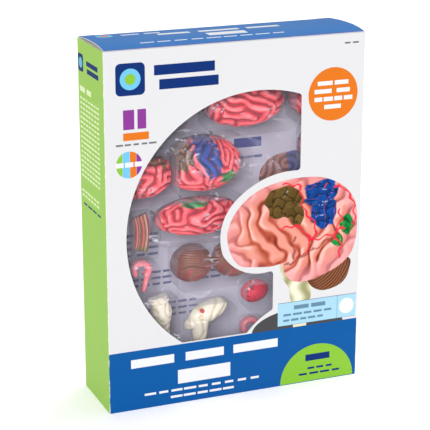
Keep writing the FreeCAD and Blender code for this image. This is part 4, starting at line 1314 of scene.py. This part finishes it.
def strand_paint(tree):
    """Pink, tan and olive from strand to strand, and green towards the lower end."""
    model = settings("model")
    share = add(tree, "ShaderNodeAttribute", attribute_name="strand").outputs["Fac"]
    ramp = add(tree, "ShaderNodeValToRGB", {"Fac": calc(tree, "ADD", share, 0.5)})
    stops = (
        (0.0, srgb(170, 74, 66)),
        (0.18, srgb(226, 132, 116)),
        (0.36, srgb(122, 92, 56)),
        (0.52, srgb(208, 110, 92)),
        (0.68, srgb(176, 150, 110)),
        (0.84, srgb(236, 158, 142)),
        (1.0, srgb(150, 70, 60)),
    )
    band = ramp.color_ramp
    band.interpolation = "CONSTANT"
    band.elements[0].position, band.elements[0].color = stops[0][0], (*stops[0][1], 1)
    band.elements[1].position, band.elements[1].color = stops[-1][0], (*stops[-1][1], 1)
    for position, colour in stops[1:-1]:
        band.elements.new(position).color = (*colour, 1)
    _, _, z = millimetres(tree)
    tip = calc(tree, "SUBTRACT", 1.0, ease(tree, z, 133.0, 138.0))
    return blend(tree, calc(tree, "MULTIPLY", tip, 0.7), ramp.outputs["Color"], model.green)


# Tables for the operators

# Print: name, ink, layer, outlines and paragraphs, as print_piece takes them
CHIP = (-91.8, 282)
BADGE = (-93.7, 212.7, 11)
FRONT_PRINT = (
    ("front_navy_print", "navy", 1, [rounded_bar(-104, -79.5, 269, 295, 4)],
     [(-74.5, 283.5, 57, 8.2, 1, 3), (-74.5, 271.8, 64.5, 8.2, 1, 5)]),
    ("front_chip_ring", "sky", 2, [disc(*CHIP, 8.6)], []),
    ("front_chip_core", "leaf", 3, [disc(*CHIP, 4.4)], []),
    ("front_purple_print", "purple", 1, [disc_stripe(*BADGE, 6.2, 10.8)],
     [(-99, 241.5, 22, 16, 2, 4)]),
    ("front_orange_print", "orange", 1, [disc(85.6, 255.2, 22.6), disc_stripe(*BADGE, 0.8, 6.0)],
     [(-103, 232.6, 31, 6.2, 1, 2)]),
    ("front_badge_sky", "sky", 1, [disc_stripe(*BADGE, -5.4, 0.6)], []),
    ("front_badge_leaf", "leaf", 1,
     [disc_stripe(*BADGE, -10.8, -5.6), half_oval(76, 0.6, 34.8, 33.6, 0.6)], []),
    ("front_grey_print", "grey", 1, [],
     [(-105, 228.4, 35, 1.5, 5, 7), (94, 296.6, 15, 1.4, 2, 8)]),
    ("front_white_print", "white", 2, [],
     [(70.5, 263.0, 30.0, 3.6, 2, 3), (67.0, 256.3, 37.0, 3.6, 2, 4),
      (67.5, 249.6, 36.5, 3.6, 4, 5), (76.0, 242.9, 18.5, 3.6, 1, 6),
      (-105.6, 210.8, 24, 4.0, 3, 10), (-99, 37.5, 140, 7.6, 3, 11),
      (-57, 17.5, 55, 12.4, 1, 12), (-84, 11.2, 107, 2.0, 9, 13), (-60.5, 5.4, 59, 2.0, 5, 14)]),
    ("front_dome_bar", "navy", 2, [],
     [(59, 19.4, 35, 6.0, 1, 15), (66, 11.6, 26, 1.8, 3, 16), (57.5, 6.6, 42, 1.8, 4, 17)]),
)
STAND_PRINT = (
    ("picture_base", "charcoal", 1, [half_oval(*BASE_CENTRE, *BASE_REACH, BAND_TOP)], []),
    ("picture_post", "ivory", 2, [bar(52.5, 65, BAND_TOP, 66)], []),
)
LABEL_PRINT = (
    ("label_panel", "panel", 4, [bar(38, 112, 55.4, 76.4)], []),
    ("label_lines", "slate", 5,
     [bar(94.0, 94.35, 55.4, 76.4), bar(38, 112, 76.1, 76.4), bar(38, 112, 55.4, 55.65)],
     [(52, 69.2, 32, 3.6, 2, 21), (42, 64, 48, 2.0, 5, 22), (42, 59, 40, 2.0, 5, 23)]),
    ("label_disc", "pale", 5, [disc(103.2, 65.9, 7.0)], []),
)
TOP_PRINT = (
    ("top_white_print", "white", 1, [],
     [(-84, 14.5, 38, 4.4, 2, 41), (-60, 3.5, 118, 6.4, 3, 42), (-24, -13.5, 48, 10.0, 1, 43),
      (-80, -21.5, 128, 1.7, 9, 44)]),
    ("top_chip", "sky", 2, [disc(-96, 17, 7.0)], []),
    ("top_chip_core", "orange", 3, [disc(-96, 17, 3.6)], []),
    ("top_edge_line", "purple", 1, [bar(-112.8, 112.8, -32.4, -32.0)], []),
)
GUIDE_PRINT = (
    ("guide_title", "guide blue", 1, [], [(20, 199, 32, 8.5, 1, 51)]),
    ("guide_words", "guide grey", 1, [],
     [(-70, 226, 50, 3.4, 4, 52, 2, 7.0), (24, 189, 26, 2.4, 3, 53),
      (-80, 112, 34, 2.4, 3, 54, 4, 6.0), (-74, 84, 40, 2.2, 4, 57, 3, 5.5),
      (-10, 84, 44, 2.2, 4, 55, 4, 5.8), (-60, 54, 50, 2.2, 5, 56, 3, 5.6)]),
)
# The guide's paper, darkened to a lavender grey as painted shade of the carton's inside
GUIDE_PAPER_IN_SHADE = srgb(216, 211, 230)

# Pictures: outline, centre, rings, layer, colours
GUIDE_PICTURE = (GUIDE_BRAIN_OUTLINE, (68, 175), 30, 2, picture_guide)
FRONT_PICTURES = (
    ("picture_stem", STEM_OUTLINE, (57, 96), 30, 1, picture_stem),
    ("picture_cerebellum", CEREBELLUM_OUTLINE, (86, 98), 60, 2, picture_cerebellum),
    ("picture_cerebrum", CEREBRUM_OUTLINE, (56, 138), 150, 3, picture_cerebrum),
)

# Painted plastics: colour, wash over it, unevenness and scale of the brush, clear coat
PLASTICS = {
    "Painted lobe plastic": (paint_attribute, srgb(200, 30, 46), 0.22, 330.0, 0.22),
    "Painted insula plastic": ("crest", srgb(200, 40, 50), 0.5, 120.0, 0.3),
    "Painted cerebellum plastic": (paint_attribute, srgb(96, 24, 22), 0.2, 300.0, 0.2),
    "Painted stem plastic": (paint_attribute, srgb(205, 194, 164), 0.25, 200.0, 0.2),
    "Ivory plastic": ("ivory", srgb(190, 176, 140), 0.3, 160.0, 0.3),
    "Fibre bed plastic": (srgb(104, 44, 40), srgb(60, 24, 24), 0.5, 300.0, 0.3),
    "Painted fibre strands": (strand_paint, srgb(120, 50, 44), 0.3, 400.0, 0.35),
    "Rose plastic": ("rose", srgb(236, 168, 170), 0.5, 170.0, 0.4),
    "Crimson plastic": ("crimson", srgb(150, 10, 36), 0.35, 140.0, 0.5),
    "Ventricle plastic": (srgb(64, 120, 190), srgb(30, 70, 140), 0.3, 150.0, 0.3),
}
# The pieces that keep their CAD form, and their plastic
PLAIN_PIECES = {
    "insula": "Painted insula plastic",
    "thalamus": "Ivory plastic",
    "corpus_callosum": "Ivory plastic",
    "optic_nerve": "Ivory plastic",
    "fornix": "Rose plastic",
    "basal_ganglia": "Crimson plastic",
    "ventricle": "Ventricle plastic",
}

# Clear sheets: material, how much more of the tint shows at edges, how light its painted
# shade is, scale and stretch of the wrinkles, strength of the painted glints
CLEAR_LOOKS = {
    "tray": ("Clear tray sheet", 0.15, 0.55, 34.0, (0.5, 1.0, 1.1), 0.3),
    "tray_cover": ("Clear cover sheet", 0.05, 0.9, 26.0, (0.6, 1.0, 1.2), 0.6),
}

# Studio: each lamp's place from the middle, its width in degrees and its share of the key
LAMPS = {
    "Key lamp": ((-0.55, -1.0, 0.45), 24, 1.0),
    "Top lamp": ((0.1, -0.2, 1.0), 40, 0.26),
    "Right lamp": ((0.7, 0.3, 1.6), 30, 0.5),
    "Back lamp": ((0.3, 1.0, 0.5), 40, 0.2),
}
FLOOR_REACH = 6.0
FLOOR_GLOW = 0.27
CAMERA_PLACE = (-0.482835, -1.170969, 0.547688)
CAMERA_AIM = (0.359549, 0.883853, -0.299213)
CAMERA_ROLL = 0.08


def side_table(side, seed):
    """The print that both sides have, in a side's own rhythm of words."""
    return (
        (side + "_side_rows", "pale green", 1, [],
         [(-30, 262.5, 34, 4.4, 2, seed), (-29, 190.5, 50, 1.7, 7, seed + 1, 17, 4.1),
          (-29, 173.5, 46, 1.7, 6, seed + 2, 2, 4.0)]),
        (side + "_side_navy", "navy", 1, [rounded_bar(-31.5, -18, 279, 293.5, 2.5)],
         [(-14, 286.2, 38, 4.0, 1, seed + 3), (-14, 280.0, 41, 4.0, 1, seed + 4),
          (-26, 166.8, 48, 1.5, 4, seed + 5)]),
        (side + "_side_dot", "sky", 2, [disc(-24.7, 286.2, 4.4)], []),
    )


# Operators


class BRAINKIT_OT_card(bpy.types.Operator):
    """Print the carton and its lid"""

    bl_idname = "brain_kit.card"
    bl_label = "Print Carton and Lid"

    def execute(self, context):
        repaint_node("carton", carton_material())
        repaint_node("lid", lid_material())
        return {"FINISHED"}


class BRAINKIT_OT_front_print(bpy.types.Operator):
    """Lay the rows of words, discs and panels on the front"""

    bl_idname = "brain_kit.front_print"
    bl_label = "Print Front"

    def execute(self, context):
        print_all("front", FRONT_PRINT)
        return {"FINISHED"}


class BRAINKIT_OT_front_picture(bpy.types.Operator):
    """Print the picture of a brain on its stand, and the pale panel over its foot"""

    bl_idname = "brain_kit.front_picture"
    bl_label = "Print Brain Picture"

    def execute(self, context):
        material = picture_material("Picture ink")
        print_all("front", STAND_PRINT)
        for name, *picture in FRONT_PICTURES:
            picture_slab(name, "front", *picture, material)
        print_all("front", LABEL_PRINT)
        return {"FINISHED"}


class BRAINKIT_OT_side_print(bpy.types.Operator):
    """Lay the rows of words on the sides and on the lid"""

    bl_idname = "brain_kit.side_print"
    bl_label = "Print Sides and Lid"

    def execute(self, context):
        for side, seed in (("left", 31), ("right", 61)):
            print_all(side, side_table(side, seed))
        print_all("top", TOP_PRINT)
        return {"FINISHED"}


class BRAINKIT_OT_clear_sheets(bpy.types.Operator):
    """Give the tray and its cover their clear sheet"""

    bl_idname = "brain_kit.clear_sheets"
    bl_label = "Finish Tray and Cover"

    def execute(self, context):
        clear = settings("clear")
        bodies = {"tray": clear.tray_body, "tray_cover": clear.cover_body}
        for name, (label, *look) in CLEAR_LOOKS.items():
            repaint_node(name, clear_material(label, bodies[name], *look))
            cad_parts[name].visible_shadow = False
        return {"FINISHED"}


class BRAINKIT_OT_guide(bpy.types.Operator):
    """Give the guide its paper and print"""

    bl_idname = "brain_kit.guide"
    bl_label = "Finish Guide"

    def execute(self, context):
        # Guide paper in painted shade, a lavender grey
        paper, tree, surface = new_material("Guide paper in painted shade")
        printed(tree, surface, GUIDE_PAPER_IN_SHADE, 0.1)
        repaint_node("guide", paper)
        print_all("guide", GUIDE_PRINT)
        material = picture_material("Guide picture ink")
        picture_slab("guide_picture", "guide", *GUIDE_PICTURE, material)
        return {"FINISHED"}


class BRAINKIT_OT_lobes(bpy.types.Operator):
    """Fold and paint the lobes"""

    bl_idname = "brain_kit.lobes"
    bl_label = "Make Lobes"

    def execute(self, context):
        material = painted_material("Painted lobe plastic")
        for name in LOBES:
            make_lobe(name, material)
        repaint_pair("insula")
        return {"FINISHED"}


class BRAINKIT_OT_cerebella(bpy.types.Operator):
    """Leaf and paint the two halves of the cerebellum"""

    bl_idname = "brain_kit.cerebella"
    bl_label = "Make Cerebellum"

    def execute(self, context):
        material = painted_material("Painted cerebellum plastic")
        make_cerebellum("left_cerebellum", 1, material)
        make_cerebellum("right_cerebellum", -1, material)
        return {"FINISHED"}


class BRAINKIT_OT_brain_stems(bpy.types.Operator):
    """Shape and paint the two halves of the stem, and paint the other ivory pieces"""

    bl_idname = "brain_kit.brain_stems"
    bl_label = "Make Brain Stem"

    def execute(self, context):
        material = painted_material("Painted stem plastic")
        for name, depth, spacing, seed in (
            ("left_brain_stem", 0.45, 6.0, 51),
            ("right_brain_stem", 0.6, 8.0, 52),
        ):
            make_soft_form(name, material, stem_colours, depth, spacing, seed)
        for part in ("thalamus", "corpus_callosum", "optic_nerve"):
            repaint_pair(part)
        return {"FINISHED"}


class BRAINKIT_OT_fibre_fans(bpy.types.Operator):
    """Lay the strands over the two fibre fans"""

    bl_idname = "brain_kit.fibre_fans"
    bl_label = "Make Fibre Fans"

    def execute(self, context):
        bed = painted_material("Fibre bed plastic")
        strands = painted_material("Painted fibre strands")
        for name in ("left_fibre_fan", "right_fibre_fan"):
            repaint_node(name, bed)
            make_strands(name, strands)
        return {"FINISHED"}


class BRAINKIT_OT_inner_pieces(bpy.types.Operator):
    """Paint the arched fornices, the discs, the ventricles and the ring of arteries"""

    bl_idname = "brain_kit.inner_pieces"
    bl_label = "Paint Inner Pieces"

    def execute(self, context):
        for part in ("fornix", "basal_ganglia", "ventricle"):
            repaint_pair(part)
        repaint_node("artery_ring", bpy.data.materials["Crimson plastic"])
        return {"FINISHED"}


class BRAINKIT_OT_stand(bpy.types.Operator):
    """Give the stand its black moulded plastic"""

    bl_idname = "brain_kit.stand"
    bl_label = "Finish Stand"

    def execute(self, context):
        material, tree, surface = new_material("Black moulded plastic")
        grain = noise_texture(tree, place_on_piece(tree), Scale=700.0)
        grain_height = 0.00003
        surface["Base Color"].default_value = (0.02, 0.02, 0.024, 1)
        surface["Roughness"].default_value = 0.38
        put(tree, bump(tree, grain, grain_height), surface["Normal"])
        for name in ("stand_base", "stand_post"):
            repaint_node(name, material)
        return {"FINISHED"}


class BRAINKIT_OT_studio(bpy.types.Operator):
    """Set up the floor, the soft light and the camera"""

    bl_idname = "brain_kit.studio"
    bl_label = "Set Up Studio"

    def execute(self, context):
        studio = settings("studio")
        scene = context.scene
        material, tree, surface = new_material("Pale floor")
        surface["Base Color"].default_value = (*studio.floor, 1)
        surface["Roughness"].default_value = 0.9
        surface["Emission Color"].default_value = (1, 1, 1, 1)
        surface["Emission Strength"].default_value = FLOOR_GLOW
        mesh = bpy.data.meshes.new("studio_floor")
        corners = bar(-FLOOR_REACH, FLOOR_REACH, -FLOOR_REACH, FLOOR_REACH)
        mesh.from_pydata([(x, y, 0) for x, y in corners], [], [(0, 1, 2, 3)])
        mesh.materials.append(material)
        add_object("studio_floor", mesh)

        world = bpy.data.worlds.new("Soft white room")
        world.use_nodes = True
        room = world.node_tree.nodes["Background"].inputs
        room["Color"].default_value = (1, 1, 1, 1)
        seen = add(world.node_tree, "ShaderNodeLightPath").outputs["Is Camera Ray"]
        put(world.node_tree, calc(world.node_tree, "MAXIMUM", seen, studio.sky), room["Strength"])
        scene.world = world

        for name, (place, width, share) in LAMPS.items():
            lamp = bpy.data.lights.new(name, "SUN")
            lamp.angle = math.radians(width)
            lamp.energy = share * studio.key
            holder = add_object(name, lamp)
            holder.location = place
            holder.rotation_euler = (-Vector(place)).to_track_quat("-Z", "Y").to_euler()

        lens = bpy.data.cameras.new("Photograph camera")
        lens.lens = studio.lens
        lens.sensor_width = 36.0
        lens.clip_start = 0.05
        camera = add_object("Photograph camera", lens)
        camera.location = CAMERA_PLACE
        turn = Vector(CAMERA_AIM).to_track_quat("-Z", "Y").to_matrix()
        roll = Matrix.Rotation(math.radians(CAMERA_ROLL), 3, "Z")
        camera.rotation_euler = (turn @ roll).to_euler()
        scene.camera = camera
        scene.view_settings.view_transform = "Standard"
        return {"FINISHED"}


OPERATORS = (
    BRAINKIT_OT_card,
    BRAINKIT_OT_front_print,
    BRAINKIT_OT_front_picture,
    BRAINKIT_OT_side_print,
    BRAINKIT_OT_clear_sheets,
    BRAINKIT_OT_guide,
    BRAINKIT_OT_lobes,
    BRAINKIT_OT_cerebella,
    BRAINKIT_OT_brain_stems,
    BRAINKIT_OT_fibre_fans,
    BRAINKIT_OT_inner_pieces,
    BRAINKIT_OT_stand,
    BRAINKIT_OT_studio,
)


class BRAINKIT_PT_panel(bpy.types.Panel):
    bl_idname = "BRAINKIT_PT_panel"
    bl_label = "Brain Kit"
    bl_space_type = "VIEW_3D"
    bl_region_type = "UI"
    bl_category = "Brain Kit"

    def draw(self, context):
        for group in SETTINGS:
            box = self.layout.box()
            box.label(text=group.capitalize())
            values = settings(group)
            for name in values.__annotations__:
                box.prop(values, name)
        for operator in OPERATORS:
            self.layout.operator(operator.bl_idname)


SETTINGS = {
    "carton": CartonSettings,
    "print": PrintSettings,
    "model": ModelSettings,
    "clear": ClearSettings,
    "studio": StudioSettings,
}
CLASSES = (*SETTINGS.values(), *OPERATORS, BRAINKIT_PT_panel)


def register():
    for kind in CLASSES:
        bpy.utils.register_class(kind)
    for group, kind in SETTINGS.items():
        setattr(bpy.types.Scene, "brain_kit_" + group, bpy.props.PointerProperty(type=kind))


def unregister():
    for group in SETTINGS:
        delattr(bpy.types.Scene, "brain_kit_" + group)
    for kind in reversed(CLASSES):
        bpy.utils.unregister_class(kind)


def main():
    """Registers the add-on and runs every operator in order."""
    register()
    for operator in OPERATORS:
        family, step = operator.bl_idname.split(".")
        getattr(getattr(bpy.ops, family), step)()


if __name__ == "__main__":
    main()
